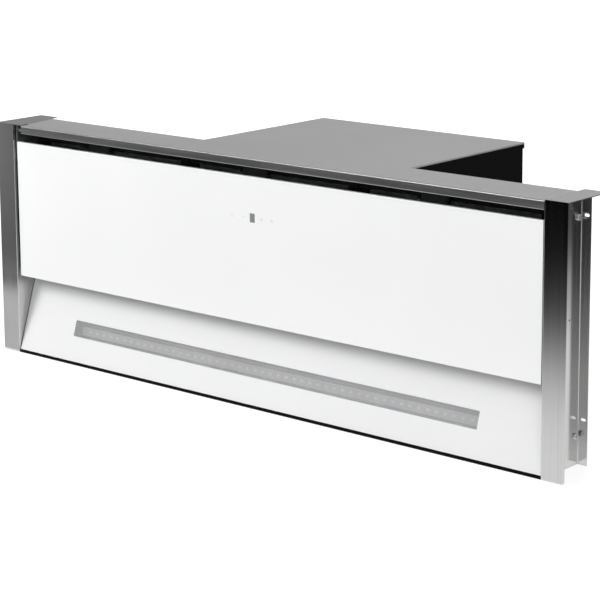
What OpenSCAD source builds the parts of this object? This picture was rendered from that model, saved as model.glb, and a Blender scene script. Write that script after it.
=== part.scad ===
// Built-in range hood with a hinged glass front, a lit lower panel and a blower box behind.
// X runs to the right seen from the front, the front faces -Y and Z is up.
// Depths are written from the front plane backwards; place() moves them to the shared origin.

/* [Overall] */
// Width over the side trims
hood_w = 898; // [880:1:1198]
// Height over the top flanges of the side trims
hood_h = 309; // [306:1:330]
// Depth of the front bar, to the back of its rear wall
bar_d = 68; // [67:0.5:80]
// Depth from the front plane to the back of the blower box
hood_d = 300; // [298:1:330]
// Thickness of the sheet steel
sheet_t = 1; // [0.8:0.1:1.2]
// Gap between sheets that slide past each other
fit_gap = 0.5; // [0.3:0.1:0.8]
// Length of the chassis's end walls, from the rear wall forwards
end_wall_l = 22; // [18:1:24]

/* [Side trims] */
// Width of a trim's front face
trim_face_w = 30; // [28:1:36]
// Distance of the trim's rear lip behind the front chassis
trim_past_bar = 4; // [2:0.5:8]
// Width of the trim's rear lip
trim_lip_w = 13; // [12:0.5:18]
// Distance of the top flange behind the rear lip
flange_past_lip = 6; // [2:0.5:10]
// Width of the left top flange
flange_w_left = 45; // [40:1:50]
// How far the left top flange narrows towards its back
flange_taper = 14; // [0:1:14]
// Width of the right top flange
flange_w_right = 30; // [28:1:30]
// Radius of the lower outer corner of the front face
trim_corner_r = 3; // [1:0.5:6]
// Length of a mounting slot in the rear lip
slot_l = 6.6; // [5:0.2:8]
// Height of a mounting slot
slot_h = 3.4; // [3:0.2:4.4]
// Distance of a slot's middle from the trim's inner face
slot_from_web = 7.6; // [6.5:0.1:8]
// Height of the lower slots
slot_z_low = 52; // [45:1:70]
// Distance of the upper slots under the top
slot_drop = 27; // [22:1:40]
// Height of the lower trim screws
trim_screw_z_low = 33.5; // [25:0.5:40]
// Distance of the upper trim screws under the top
trim_screw_drop = 29; // [22:1:40]
// Distance of the trim screws ahead of the bar's back
trim_screw_ahead = 3.5; // [3:0.5:6]
// Length of the small tab on a trim's web
web_tab_l = 9; // [6:0.5:12]
// Height of that tab
web_tab_h = 4; // [3:0.5:6]
// How far that tab stands out
web_tab_out = 0.8; // [0.4:0.1:1.5]
// Distance of that tab under the top
web_tab_drop = 17; // [12:1:20]
// Distance of that tab ahead of the trim screws
web_tab_ahead = 7; // [6:0.5:10]
// Radius of the pilot hole in a trim's web
web_hole_r = 1; // [0.5:0.1:2]
// Distance of the pilot hole under the top
web_hole_drop = 141; // [100:1:180]
// Distance of the pilot hole ahead of the rear lip
web_hole_ahead = 22; // [15:1:30]

/* [Top cover] */
// Height of the front lip
lip_h = 10.5; // [9:0.5:13]
// Outside radius of the lip's upper bend
lip_bend_r = 1.8; // [1.5:0.1:3]
// Thickness of the folded hem on the lip
hem_t = 2.2; // [2:0.1:3]
// Height of the folded hem above its bend
hem_h = 3; // [2:0.5:5]
// Width of the notch beside the left trim
notch_w = 15.5; // [14:0.5:18]
// Height of the skirt round the blower box
skirt_h = 8; // [6:0.5:9]
// Height of that skirt's two sides
side_skirt_h = 2.2; // [2:0.1:6]

/* [Blower box] */
// Width of the blower box
box_w = 325; // [318:1:360]
// Distance of the box's middle to the right of the hood's middle
box_shift = 24.5; // [20:0.5:28]
// Width of the screwed flange at the box's mouth
box_flange_w = 10; // [9:0.5:14]
// Distance of the outer box screws from the bottom and from the top
box_screw_end = 40; // [30:1:60]
// Distance of the cover screws from the box's sides
cover_screw_in = 38; // [20:1:60]

/* [Glass front] */
// Thickness of the glass
glass_t = 4; // [3:0.5:5]
// Gap between a glass edge and the side trim
glass_side_gap = 3.5; // [3.5:0.1:5]
// Depth of the upper glass behind the front plane
glass_y = 3.5; // [3:0.5:5]
// Height of the upper glass's lower edge
glass_z = 105; // [100:1:108]
// Gap between the upper glass and the cover's lip
air_gap = 12; // [11.5:0.5:16]
// Distance from the glass edge to the door tray, at the sides
tray_inset_x = 7.5; // [7:0.5:12]
// Distance from the glass edge to the door tray, at the bottom
tray_inset_z = 7; // [4:0.5:9]
// Distance from the glass edge to the door tray, at the top
tray_drop = 4.5; // [4:0.5:8]
// Depth of the door tray
tray_d = 11; // [10:0.5:12]
// Height of the tray's folded lower return
tray_return_h = 12; // [11:0.5:16]

/* [Door hinge] */
// Depth of the hinge axis behind the glass
hinge_behind = 6; // [5.5:0.1:6.5]
// Distance of the hinge axis under the glass's upper edge
hinge_drop = 9.5; // [9:0.5:12]
// Radius of the hinge pins
pin_r = 3; // [2:0.1:3.2]
// Radius of the tray's ear round the pin
ear_r = 5.6; // [5:0.1:5.6]
// Length of the ear
ear_l = 6; // [4:0.5:8]
// Radial clearance of turning pins
run_clear = 0.06; // [0.03:0.01:0.09]
// Thickness of the hinge bracket
bracket_t = 2; // [1.5:0.5:2]
// Height of the hinge bracket
bracket_h = 34; // [28:1:40]
// Reach of the bracket over the end wall
bracket_lap = 16; // [12:1:18]
// Distance of the bracket's front edge ahead of the glass's back
bracket_fore = 2.5; // [1:0.5:3]
// Height of the bracket over the glass's upper edge
bracket_over = 10.5; // [8:0.5:11]

/* [Lower panel] */
// Lean of the lower glass from upright, in degrees
lean_angle = 17.6; // [16:0.2:18]
// Depth of the lower glass's front edge
lean_y = 1.1; // [1.1:0.1:2]
// Height of the lower glass's front edge, the black lip under it
lean_z = 3.5; // [3:0.5:5]
// How far that lip stands up in front of the glass
lip_over = 0.7; // [0:0.1:1]
// Length of the lower glass up its slope
lower_glass_l = 117; // [110:0.5:118]
// Length of the lamp window
window_l = 650; // [560:10:720]
// Width of the lamp window up the slope
window_w = 20.4; // [18:0.2:24]
// Distance of the window from the glass's front edge
window_s = 33.6; // [30:0.2:38]
// Thickness of the frosted window
window_t = 3; // [2:0.5:3]
// Gap round the frosted window
window_gap = 0.2; // [0.1:0.05:0.4]
// Gap between the lower glass and the side trim
lower_side_gap = 0.6; // [0.5:0.1:1.5]
// Gap between the panel tray and the side trim
panel_side_gap = 6; // [5:0.5:8]
// Distance of the panel tray's edge under the glass's upper edge
panel_drop = 2; // [1:0.5:4]
// Reach of the panel tray under the glass's front edge
panel_low = 0.6; // [0.2:0.1:0.8]
// Length of the panel tray's foot on the bottom
foot_l = 21; // [15:1:24]
// Depth of the lamp channel behind the tray
channel_d = 12; // [10:0.5:13]
// Width of a flange of the lamp channel
channel_flange_w = 5; // [4:0.5:8]
// Width of the strip board with the diodes
led_board_w = 11; // [8:0.5:14]
// Distance of the diodes below the middle of the window
led_drop = 2; // [0:0.5:3]
// Distance between diodes
led_pitch = 12.6; // [9:0.1:20]
// Length without diodes at each end of the window
led_end = 10; // [5:1:30]
// Thickness of the strip board
led_board_t = 1.4; // [1:0.1:2]
// Length of the lamp's supply
driver_l = 160; // [100:5:200]
// Depth of the lamp's supply
driver_w = 19; // [16:0.5:20]
// Height of the lamp's supply
driver_h = 21; // [16:0.5:22]
// Distance of the lamp's supply from the left trim
driver_from_side = 79; // [60:1:120]
// Depth of the lamp supply's front
driver_y = 29; // [28:0.5:32]
// Length of a lug on the lamp's supply
driver_lug_l = 8; // [6:0.5:10]
// Width of a lug on the lamp's supply
driver_lug_w = 11; // [8:0.5:14]
// Thickness of a lug on the lamp's supply
driver_lug_t = 2; // [1.5:0.1:3]

/* [Grease filters] */
// Depth of the filters' front
filter_y = 38; // [37.5:0.5:39]
// Thickness of a filter
filter_t = 9; // [7:0.5:9]
// Gap between a filter and the rails, and between two filters
filter_gap = 1; // [0.5:0.1:1]
// Height of the bottom rail
rail_z = 117; // [117:0.5:120]
// Height of the bottom rail's legs
rail_leg_h = 10; // [7:0.5:12]
// Height of the top rail
top_rail_h = 9; // [8:0.5:10]
// Gap between the outer filters and the ends of their rails
filter_side_gap = 8; // [6:1:12]
// Width of a filter's border
filter_border = 14; // [11:0.5:18]
// Thickness of the filter mesh
mesh_t = 5; // [3:0.5:6]
// Distance of a latch from the middle of its filter
latch_shift = -24; // [-40:1:40]
// Width of a latch plate
latch_w = 40; // [30:1:50]
// Height of a latch plate
latch_h = 19; // [16:1:22]
// Thickness of a latch plate
latch_t = 2; // [1.5:0.1:2]
// Distance of a latch plate under the filter's upper edge
latch_drop = 4.5; // [4:0.5:6]
// How much the tongue is narrower than the latch plate, on each side
tongue_in = 5; // [3:0.5:8]
// Width of a latch's thumb tab
thumb_w = 24; // [16:1:28]
// Reach of a latch's thumb tab
thumb_d = 5; // [3:0.5:6]
// Height of a latch's thumb tab
thumb_h = 4; // [2:0.5:5]
// Thickness of a latch guide's side
guide_t = 2.5; // [2:0.5:4]
// Thickness of a latch guide's front
guide_front_t = 1.2; // [1:0.1:1.5]
// Reach of a latch guide's front over the plate
guide_lip = 2; // [1:0.5:3]
// Height of a latch guide
guide_h = 11; // [8:0.5:11]
// Travel of a latch
latch_travel = 5.5; // [4:0.5:6]
// Clearance of sliding pieces
slide_clear = 0.3; // [0.2:0.05:0.4]
// Distance of a magnet catch from the middle
catch_x = 330; // [250:5:380]
// Width of a magnet catch
catch_w = 40; // [30:1:60]
// Height of a magnet catch
catch_h = 10; // [8:0.5:12]
// Thickness of a steel strike on the door
strike_t = 1.4; // [1:0.1:2]

/* [Touch control] */
// Distance of the row of icons under the upper glass's upper edge
icon_drop = 50.1; // [30:0.1:60]
// Distances of the touch icons from the middle
icon_x = [-31.6, -13.7, 14.5, 31];
// Size of a touch icon
icon_size = 4.6; // [3:0.1:7]
// Width of a line in an icon
icon_line = 0.6; // [0.4:0.1:0.9]
// Depth of the printed icons in the glass
icon_t = 0.3; // [0.2:0.1:0.6]
// Width of the display
display_w = 7.8; // [6:0.2:12]
// Height of the display
display_h = 11; // [8:0.2:14]
// Thickness of the display window
display_t = 1.2; // [0.8:0.1:2]
// Width of the touch control's housing
touch_w = 124; // [110:1:160]
// Height of the touch control's housing
touch_h = 28; // [24:1:34]
// Depth of the touch control's housing
touch_d = 8.5; // [7:0.5:9]
// Wall of the touch control's housing
touch_wall = 1.5; // [1:0.1:2]
// Gap between that housing and its hole in the tray
touch_gap = 0.2; // [0.1:0.05:0.4]

/* [Blower] */
// Depth of the fan's axis
fan_y = 190; // [188:1:192]
// Height of the fan's axis
fan_z = 125; // [120:1:128]
// Radius of the impeller
fan_r = 76; // [70:0.5:77]
// Length of the impeller
fan_l = 118; // [100:1:120]
// Number of blades
blade_n = 36; // [24:1:48]
// Radial length of a blade
blade_l = 13; // [10:0.5:16]
// Thickness of a blade
blade_t = 1.2; // [1:0.1:1.6]
// Thickness of the impeller's middle disc and end rings
ring_t = 2; // [1.5:0.1:3]
// Radius of the impeller's hub
hub_r = 14; // [12:0.5:18]
// Length of the impeller's hub
hub_l = 22; // [18:1:26]
// Lean of a blade, in degrees
blade_lean = 28; // [15:1:35]
// Width of the fan housing
scroll_w = 152; // [151:0.5:160]
// Smallest radius of the fan housing
scroll_r_min = 82; // [80:0.5:84]
// Largest radius of the fan housing
scroll_r_max = 130; // [124:1:130]
// Wall of the fan housing
scroll_t = 2; // [1.5:0.1:2.4]
// Width of a foot under the fan housing
scroll_foot_w = 16; // [12:1:24]
// Length of a foot under the fan housing
scroll_foot_l = 20; // [14:1:26]
// Distance of the feet's middles from the fan's axis
scroll_foot_y = 35; // [25:1:45]
// Radius of an inlet
inlet_r = 58; // [54:0.5:60]
// Depth of the inlet's nozzle
nozzle_l = 8; // [5:0.5:12]
// Radius of the motor
motor_r = 42; // [36:0.5:44]
// Length of the motor
motor_l = 58; // [50:0.5:60]
// Distance of the motor from the middle of the fan
motor_x = 14; // [14:0.5:16]
// Depth of the step at the motor's front edge, along the shaft
motor_step_l = 4; // [2:0.5:6]
// Depth of that step, towards the shaft
motor_step_r = 5; // [3:0.5:8]
// Length of the shaft past the motor
shaft_past = 12; // [8:0.5:13]
// Length of the shaft past the impeller's hub
shaft_tail = 3; // [1:0.5:6]
// Radius of the motor shaft
shaft_r = 5; // [4:0.1:6]
// Wall of the shaft bushes
bush_wall = 4; // [2:0.2:5]
// Length of a shaft bush
bush_l = 8; // [6:0.5:12]
// Wall of the bracket's cup round the motor
cup_wall = 4; // [2:0.5:5]
// Clearance of the cup round the motor
cup_clear = 0.1; // [0.05:0.05:0.3]
// Length of the cup over the motor
cup_l = 12; // [8:1:20]
// Width of the ring that is open round the bushes
cup_open = 3; // [2:0.5:5]
// Thickness of the motor bracket
arm_t = 3; // [2:0.5:4]
// Width of a bracket arm
arm_w = 14; // [12:1:20]
// Distance of a bracket screw from the fan's axis
arm_screw_r = 65; // [64:0.5:68]

/* [Outlet] */
// Outside radius of the outlet collar
collar_r = 74.5; // [72:0.5:74.5]
// Wall of the outlet collar
collar_t = 1.5; // [1.2:0.1:2]
// Length of the outlet collar behind the box
collar_l = 40; // [34:1:60]
// Radius of the collar's flange
collar_flange_r = 85.5; // [84:0.5:86]
// Thickness of the collar's flange
collar_flange_t = 2.5; // [2:0.1:3]
// Distance of the outlet's middle under the cover's top
outlet_drop = 96; // [95:0.5:98]
// Thickness of a damper flap
flap_t = 1.2; // [1:0.1:2]
// Radius of a damper pin
flap_pin_r = 1.5; // [1.2:0.1:2]
// Distance of the knuckles' ends from the collar's bore
knuckle_end = 7; // [5:0.5:12]
// Wall of a flap's knuckle
knuckle_wall = 1.6; // [1.4:0.1:2]
// Distance of a damper pin from the middle
flap_pin_x = 5; // [4.5:0.1:7]
// Depth of the damper pins behind the box
flap_behind = 8; // [7:0.5:12]
// Gap between a flap and the collar's bore
flap_gap = 1.2; // [1:0.1:2]
// Depth of the ledge that the closed flaps rest on
ledge_w = 2.5; // [2:0.1:4]

/* [Electrics] */
// Depth of the control box, along X
control_d = 55; // [45:1:60]
// Width of the control box, along Y
control_w = 100; // [90:1:104]
// Height of the control box
control_h = 120; // [100:1:130]
// Wall of the control box
control_t = 2; // [1.5:0.5:3]
// Height of the control box's floor
control_z = 150; // [140:1:155]
// Distance of the control box from the box's rear wall
control_back_gap = 13; // [11:1:16]
// Thickness of a circuit board
pcb_t = 1.6; // [1:0.1:2]
// Distance of the power board from the control box's wall
board_stand = 6; // [4:0.5:8]
// Radius of the power board's standoffs
standoff_r = 3; // [2:0.5:4]
// Distance of the standoffs and the board's parts from its edges
board_edge = 4; // [4:0.5:6]
// Depth, width and height of the supply on the power board
supply_size = [16, 34, 26];
// Depth, width and height of a relay
relay_size = [14, 20, 16];
// Distance between relays
relay_pitch = 22; // [18:0.5:26]
// Radius of the small capacitors
can_r = 5; // [3:0.5:6]
// Length of the small capacitors
can_l = 18; // [12:1:20]
// Distance between the small capacitors
can_pitch = 16; // [14:0.5:20]
// Gap between the run capacitor and what stands beside it
capacitor_gap = 5; // [3:0.5:6]
// Radius of the run capacitor
capacitor_r = 14; // [10:0.5:16]
// Length of the run capacitor
capacitor_l = 45; // [30:1:55]
// Length, width and height of the terminal block, along Y, X and Z
terminal_size = [40, 20, 16];
// Radius of a terminal's hole
terminal_r = 3; // [2:0.5:4]
// Gap between the terminal block and the walls beside it
terminal_gap = 6; // [4:0.5:8]
// Radius of the gland's thread
gland_r = 8; // [6:0.5:10]
// Thickness of the gland's nut and of its flange
gland_nut_t = 5; // [4:0.5:6]
// Length of the gland's dome behind its flange
gland_dome_l = 11; // [8:1:11]
// Length of the gland's thread inside the box
gland_thread_l = 8; // [6:0.5:10]
// Radius of the gland's cable bore
gland_bore_r = 3.5; // [2.5:0.5:4.5]
// Distance of the gland from the box's right side
gland_from_side = 32; // [20:1:60]
// Height of the gland's middle
gland_z = 60; // [30:1:100]

/* [Screws] */
// Radius of a screw's shank
screw_r = 2; // [1.5:0.1:2]
// Radius of a screw's head
screw_head_r = 3.7; // [3.5:0.1:4.2]
// Height of a screw's head
screw_head_h = 2.4; // [1.8:0.1:2.4]
// Length of a screw's shank
screw_l = 7; // [5:0.5:8]
// Width of the cross recess
recess_w = 0.9; // [0.6:0.1:1.2]
// Clearance round a screw's shank
screw_clear = 0.1; // [0.05:0.05:0.2]

/* [Hidden] */
$fn = 48;
total_d = hood_d + collar_l;
front_y = -total_d / 2;
half_w = hood_w / 2;
in_x = half_w - trim_face_w;
cover_z = hood_h - sheet_t;
under_cover = cover_z - sheet_t;
lip_z = cover_z - lip_h;
bar_back = bar_d;
trim_back = bar_d + trim_past_bar;
flange_back = trim_back + flange_past_lip;
slot_x = in_x + slot_from_web;
slot_z = [slot_z_low, hood_h - slot_drop];
trim_screw_y = bar_d - trim_screw_ahead;
trim_screw_z = [trim_screw_z_low, hood_h - trim_screw_drop];
screw_hole_r = screw_r + screw_clear;

box_x0 = box_shift - box_w / 2;
box_x1 = box_shift + box_w / 2;
shell_x0 = box_x0 + sheet_t;
shell_x1 = box_x1 - sheet_t;
shell_y1 = hood_d - sheet_t;
box_inside_y = shell_y1 - sheet_t;
box_screw_z = [box_screw_end, hood_h / 2, cover_z - box_screw_end];
box_screw_x = [shell_x0 + box_flange_w / 2, shell_x1 - box_flange_w / 2];
cover_screw_x = [box_x0 + cover_screw_in, box_x1 - cover_screw_in];
cover_screw_z = cover_z - skirt_h / 2;

end_wall_y = bar_d - end_wall_l;
wall_in_x = in_x - sheet_t;

glass_x = in_x - glass_side_gap;
glass_top = lip_z - air_gap;
glass_back = glass_y + glass_t;
tray_x = glass_x - tray_inset_x;
tray_z0 = glass_z + tray_inset_z;
tray_z1 = glass_top - tray_drop;
tray_back = glass_back + tray_d;
hinge_y = glass_back + hinge_behind;
hinge_z = glass_top - hinge_drop;
bracket_x = wall_in_x - bracket_t;
bracket_y0 = glass_back - bracket_fore;
bracket_z1 = glass_top + bracket_over;
pin_x0 = tray_x - ear_l - sheet_t;

icon_z = glass_top - icon_drop;

tray_y = glass_t;
lower_glass_x = in_x - lower_side_gap;
panel_x = in_x - panel_side_gap;
panel_s1 = lower_glass_l - panel_drop;
window_x = window_l / 2;
window_s1 = window_s + window_w;
channel_y = tray_y + sheet_t;
channel_s0 = window_s - sheet_t;
channel_s1 = window_s1 + sheet_t;
channel_x = window_x + 3 * sheet_t;
led_s = (window_s + window_s1) / 2 - led_drop;
led_n = floor((window_l - 2 * led_end) / led_pitch);
led_board_y = channel_y + channel_d - sheet_t - led_board_t;
led_size = [3.5, 0.8, 2.8];
driver_x = driver_from_side - in_x;

filter_back = filter_y + filter_t;
rail_y0 = filter_y - filter_gap - sheet_t;
rail_y1 = filter_back + filter_gap + sheet_t;
filter_z0 = rail_z + sheet_t;
top_rail_z = under_cover - top_rail_h;
filter_z1 = top_rail_z - slide_clear;
filter_pitch = 2 * (panel_x - filter_side_gap) / 3;
filter_w = filter_pitch - 2 * filter_gap;
filter_x = [-filter_pitch, 0, filter_pitch];
latch_y1 = filter_y - slide_clear;
latch_y0 = latch_y1 - latch_t;
latch_z1 = filter_z1 - latch_drop;
latch_z0 = latch_z1 - latch_h;
tongue_half = latch_w / 2 - tongue_in;
tongue_z1 = top_rail_z + latch_travel - fit_gap;
guide_y0 = latch_y0 - slide_clear - guide_front_t;
catch_y0 = tray_back + strike_t + slide_clear;
catch_z = rail_z + sheet_t;

outlet_r = collar_r - collar_t;
outlet_z = cover_z - outlet_drop;
scroll_x = scroll_w / 2;
cutoff_a = 30;
scroll_sweep = 300;
scroll_steps = 40;
outlet_half = outlet_r + scroll_t + fit_gap;
shaft_bore = shaft_r + run_clear;
bush_r = shaft_r + bush_wall;
motor_x1 = motor_x + motor_l;
cup_r = motor_r + cup_wall;
arm_angles = [90, 210, 330];
arm_end_r = arm_screw_r + arm_w / 2;
flap_y = hood_d + flap_behind;
flap_r = outlet_r - flap_gap;
knuckle_r = flap_pin_r + knuckle_wall;
collar_screw_r = (collar_r + collar_flange_r) / 2;
flange_y1 = shell_y1 + collar_flange_t;
control_x1 = shell_x1 - sheet_t;
control_x0 = control_x1 - control_d;
control_y1 = box_inside_y - control_back_gap;
control_y0 = control_y1 - control_w;
gland_x = shell_x1 - gland_from_side;
dome_y1 = shell_y1 + gland_nut_t + gland_dome_l;
hole_eps = 1;

steel = "#a9abad";
black = "#151617";
white_glass = "#f1f2f2";

// Moves depths counted from the front plane to the hood's own origin.
module place() {
    translate([0, front_y, 0]) children();
}

// A box between two corners.
module block(from, to) {
    translate(from) cube(to - from);
}

// An outline in depth and height, drawn out along X.
module along_x(x0, x1) {
    translate([x0, 0, 0]) rotate([90, 0, 90]) linear_extrude(x1 - x0) children();
}

// A round bar along X, from x0 to x1.
module x_bar(r, x0, x1, y, z) {
    translate([x0, y, z]) rotate([0, 90, 0]) cylinder(r = r, h = x1 - x0);
}

// A round bar along Y, from y0 to y1.
module y_bar(r, y0, y1, x, z) {
    translate([x, y0, z]) rotate([-90, 0, 0]) cylinder(r = r, h = y1 - y0);
}

// A piece drawn for the right side, turned over for the left.
module on_side(side) {
    if (side < 0) mirror([1, 0, 0]) children();
    else children();
}

// The lower panel's own frame: Y goes in from the glass's face, Z goes up its slope.
module lean() {
    translate([0, lean_y, lean_z]) rotate([-lean_angle, 0, 0]) children();
}

// Depth and height of a point that is in from the face and up the slope.
function lean_point(in, up) = [
    lean_y + up * sin(lean_angle) + in * cos(lean_angle),
    lean_z + up * cos(lean_angle) - in * sin(lean_angle)
];

// A pan-head screw that points along -X, with its head's seat at the origin.
module screw_in_x() {
    rotate([0, -90, 0]) cylinder(r = screw_r, h = screw_l);
    rotate([0, 90, 0]) pan_head();
}

// A pan-head screw that points along -Y, with its head's seat at the origin.
module screw_in_y() {
    rotate([90, 0, 0]) cylinder(r = screw_r, h = screw_l);
    rotate([-90, 0, 0]) pan_head();
}

// The head of a screw, with a cross recess.
module pan_head() {
    recess_l = screw_head_r;
    recess_d = screw_head_h / 2;
    edge = screw_head_h / 3;
    difference() {
        rotate_extrude() {
            square([screw_head_r - edge, screw_head_h]);
            square([screw_head_r, screw_head_h - edge]);
            translate([screw_head_r - edge, screw_head_h - edge]) circle(r = edge);
        }
        for (a = [0, 90])
            rotate([0, 0, a])
                translate([-recess_l / 2, -recess_w / 2, screw_head_h - recess_d])
                    cube([recess_l, recess_w, recess_d + hole_eps]);
    }
}

// The bar's cover and its lip from the side: a round bend in front and a folded hem below.
module lip_outline() {
    difference() {
        intersection() {
            translate([lip_bend_r, cover_z - lip_bend_r]) circle(r = lip_bend_r);
            translate([0, cover_z - lip_bend_r]) square(lip_bend_r);
        }
        translate([lip_bend_r, cover_z - lip_bend_r]) circle(r = lip_bend_r - sheet_t);
    }
    translate([lip_bend_r, under_cover]) square([bar_back - lip_bend_r, sheet_t]);
    translate([0, lip_z + hem_t / 2]) square([sheet_t, lip_h - hem_t / 2 - lip_bend_r]);
    translate([0, lip_z + hem_t / 2]) square([hem_t, hem_h]);
    translate([hem_t / 2, lip_z + hem_t / 2]) circle(r = hem_t / 2);
}

module top_cover() color(steel) place() {
    reach = in_x - fit_gap;
    difference() {
        union() {
            along_x(notch_w - in_x, reach) lip_outline();
            block([-reach, notch_w, under_cover], [notch_w + sheet_t - in_x, bar_back, cover_z]);
            block([box_x0, bar_back - sheet_t, under_cover], [box_x1, hood_d, cover_z]);
            for (x = [box_x0, shell_x1])
                block([x, bar_back, cover_z - side_skirt_h], [x + sheet_t, hood_d, cover_z]);
            block([box_x0, shell_y1, cover_z - skirt_h], [box_x1, hood_d, cover_z]);
        }
        for (x = cover_screw_x)
            y_bar(screw_hole_r, shell_y1 - hole_eps, hood_d + hole_eps, x, cover_screw_z);
    }
}

module front_chassis() color(black) place() {
    mouth_x0 = shell_x0 + box_flange_w;
    mouth_x1 = shell_x1 - box_flange_w;
    difference() {
        union() {
            block([-in_x, 0, 0], [in_x, bar_back, sheet_t]);
            block([-in_x, 0, 0], [in_x, sheet_t, lean_z + lip_over]);
            block([-in_x, bar_back - sheet_t, 0], [in_x, bar_back, under_cover]);
            for (side = [-1, 1])
                on_side(side) block([wall_in_x, end_wall_y, 0], [in_x, bar_back, under_cover]);
        }
        block(
            [mouth_x0, bar_back - 2 * sheet_t, sheet_t + box_flange_w],
            [mouth_x1, bar_back + hole_eps, under_cover - box_flange_w]
        );
        for (side = [-1, 1], z = trim_screw_z)
            on_side(side) x_bar(screw_hole_r, wall_in_x - hole_eps, in_x + hole_eps, trim_screw_y, z);
        for (x = box_screw_x, z = box_screw_z)
            y_bar(screw_hole_r, bar_back - 2 * sheet_t, bar_back + hole_eps, x, z);
    }
}

module blower_box() color(black) place() {
    difference() {
        union() {
            block([shell_x0, bar_back, 0], [shell_x1, shell_y1, sheet_t]);
            for (x = [shell_x0, shell_x1 - sheet_t])
                block([x, bar_back, 0], [x + sheet_t, shell_y1, under_cover]);
            block([shell_x0, box_inside_y, 0], [shell_x1, shell_y1, under_cover]);
            for (x = [shell_x0, shell_x1 - box_flange_w])
                block([x, bar_back, 0], [x + box_flange_w, bar_back + sheet_t, under_cover]);
            block([shell_x0, bar_back, 0], [shell_x1, bar_back + sheet_t, box_flange_w]);
        }
        rear_hole(outlet_r, 0, outlet_z);
        rear_hole(gland_r + screw_clear, gland_x, gland_z);
        for (x = box_screw_x, z = box_screw_z)
            y_bar(screw_hole_r, bar_back - hole_eps, bar_back + 2 * sheet_t, x, z);
        for (x = cover_screw_x) rear_hole(screw_hole_r, x, cover_screw_z);
        collar_screw_places() rear_hole(screw_hole_r, 0, 0);
    }
}

// A hole through the blower box's rear wall.
module rear_hole(r, x, z) {
    y_bar(r, box_inside_y - hole_eps, shell_y1 + hole_eps, x, z);
}

module side_trim(flange_w, taper) {
    tab_y1 = trim_screw_y - web_tab_ahead;
    tab_z1 = hood_h - web_tab_drop;
    difference() {
        union() {
            block([in_x, 0, 0], [in_x + sheet_t, trim_back, cover_z]);
            block([in_x, trim_back - sheet_t, 0], [in_x + trim_lip_w, trim_back, cover_z]);
            translate([0, sheet_t, 0]) rotate([90, 0, 0]) linear_extrude(sheet_t) trim_face();
            translate([0, 0, cover_z]) linear_extrude(hood_h - cover_z) polygon([
                [half_w - flange_w, 0], [half_w, 0],
                [half_w, flange_back], [half_w - flange_w + taper, flange_back]
            ]);
            block([in_x, 0, cover_z], [in_x + trim_lip_w, flange_back, hood_h]);
            block(
                [in_x, tab_y1 - web_tab_l, tab_z1 - web_tab_h],
                [in_x + sheet_t + web_tab_out, tab_y1, tab_z1]
            );
        }
        for (z = trim_screw_z) web_hole(screw_hole_r, trim_screw_y, z);
        web_hole(web_hole_r, trim_back - web_hole_ahead, hood_h - web_hole_drop);
        for (z = slot_z) lip_slot(z);
    }
}

// A hole through a trim's web.
module web_hole(r, y, z) {
    x_bar(r, in_x - hole_eps, in_x + sheet_t + hole_eps, y, z);
}

// A slot with round ends through a trim's rear lip.
module lip_slot(z) {
    y0 = trim_back - sheet_t - hole_eps;
    y1 = trim_back + hole_eps;
    half_l = (slot_l - slot_h) / 2;
    block([slot_x - half_l, y0, z - slot_h / 2], [slot_x + half_l, y1, z + slot_h / 2]);
    for (dx = [-half_l, half_l]) y_bar(slot_h / 2, y0, y1, slot_x + dx, z);
}

// The trim's face, with its lower outer corner rounded.
module trim_face() {
    translate([in_x, trim_corner_r]) square([trim_face_w, hood_h - trim_corner_r]);
    translate([in_x, 0]) square([trim_face_w - trim_corner_r, trim_corner_r * 2]);
    translate([half_w - trim_corner_r, trim_corner_r]) circle(r = trim_corner_r);
}

module left_trim() color(steel) place() on_side(-1) side_trim(flange_w_left, flange_taper);

module right_trim() color(steel) place() side_trim(flange_w_right, 0);

module trim_screws() color("#c8cacb") place()
    for (side = [-1, 1], z = trim_screw_z)
        on_side(side) translate([in_x + sheet_t, trim_screw_y, z]) screw_in_x();

module box_screws() color("#c8cacb") place()
    for (x = box_screw_x, z = box_screw_z)
        translate([x, bar_back - sheet_t, z]) mirror([0, 1, 0]) screw_in_y();

module cover_screws() color("#c8cacb") place()
    for (x = cover_screw_x)
        translate([x, hood_d, cover_screw_z]) screw_in_y();

module lower_glass() color(white_glass) place() lean()
    difference() {
        block([-lower_glass_x, 0, 0], [lower_glass_x, glass_t, lower_glass_l]);
        block(
            [-window_x - window_gap, -hole_eps, window_s - window_gap],
            [window_x + window_gap, glass_t + hole_eps, window_s1 + window_gap]
        );
    }

module lamp_window() color("#b9bbbb") place() lean()
    block([-window_x, 0, window_s], [window_x, window_t, window_s1]);

module lower_panel_tray() color("#8e9092") place() {
    foot_y = lean_point(tray_y, 0)[0];
    difference() {
        union() {
            lean() block([-panel_x, tray_y, -panel_low], [panel_x, channel_y, panel_s1]);
            block([-panel_x, foot_y, sheet_t], [panel_x, foot_y + foot_l, 2 * sheet_t]);
        }
        lean() block(
            [-channel_x, tray_y - hole_eps, channel_s0 - sheet_t],
            [channel_x, channel_y + hole_eps, channel_s1 + sheet_t]
        );
    }
    for (side = [-1, 1])
        on_side(side) along_x(panel_x - sheet_t, panel_x) gusset_outline();
}

// The tray's end plate: it runs behind the sloping sheet and carries the filter rail.
module gusset_outline() {
    mid_sheet = tray_y + sheet_t / 2;
    step_w = 5;
    step_h = 4;
    polygon([
        [lean_point(mid_sheet, 0)[0], sheet_t],
        [rail_y1, sheet_t],
        [rail_y1, rail_z],
        [rail_y1 - step_w, rail_z],
        [rail_y1 - step_w, rail_z - step_h],
        lean_point(mid_sheet, panel_s1),
        lean_point(mid_sheet, 0)
    ]);
}

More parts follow.
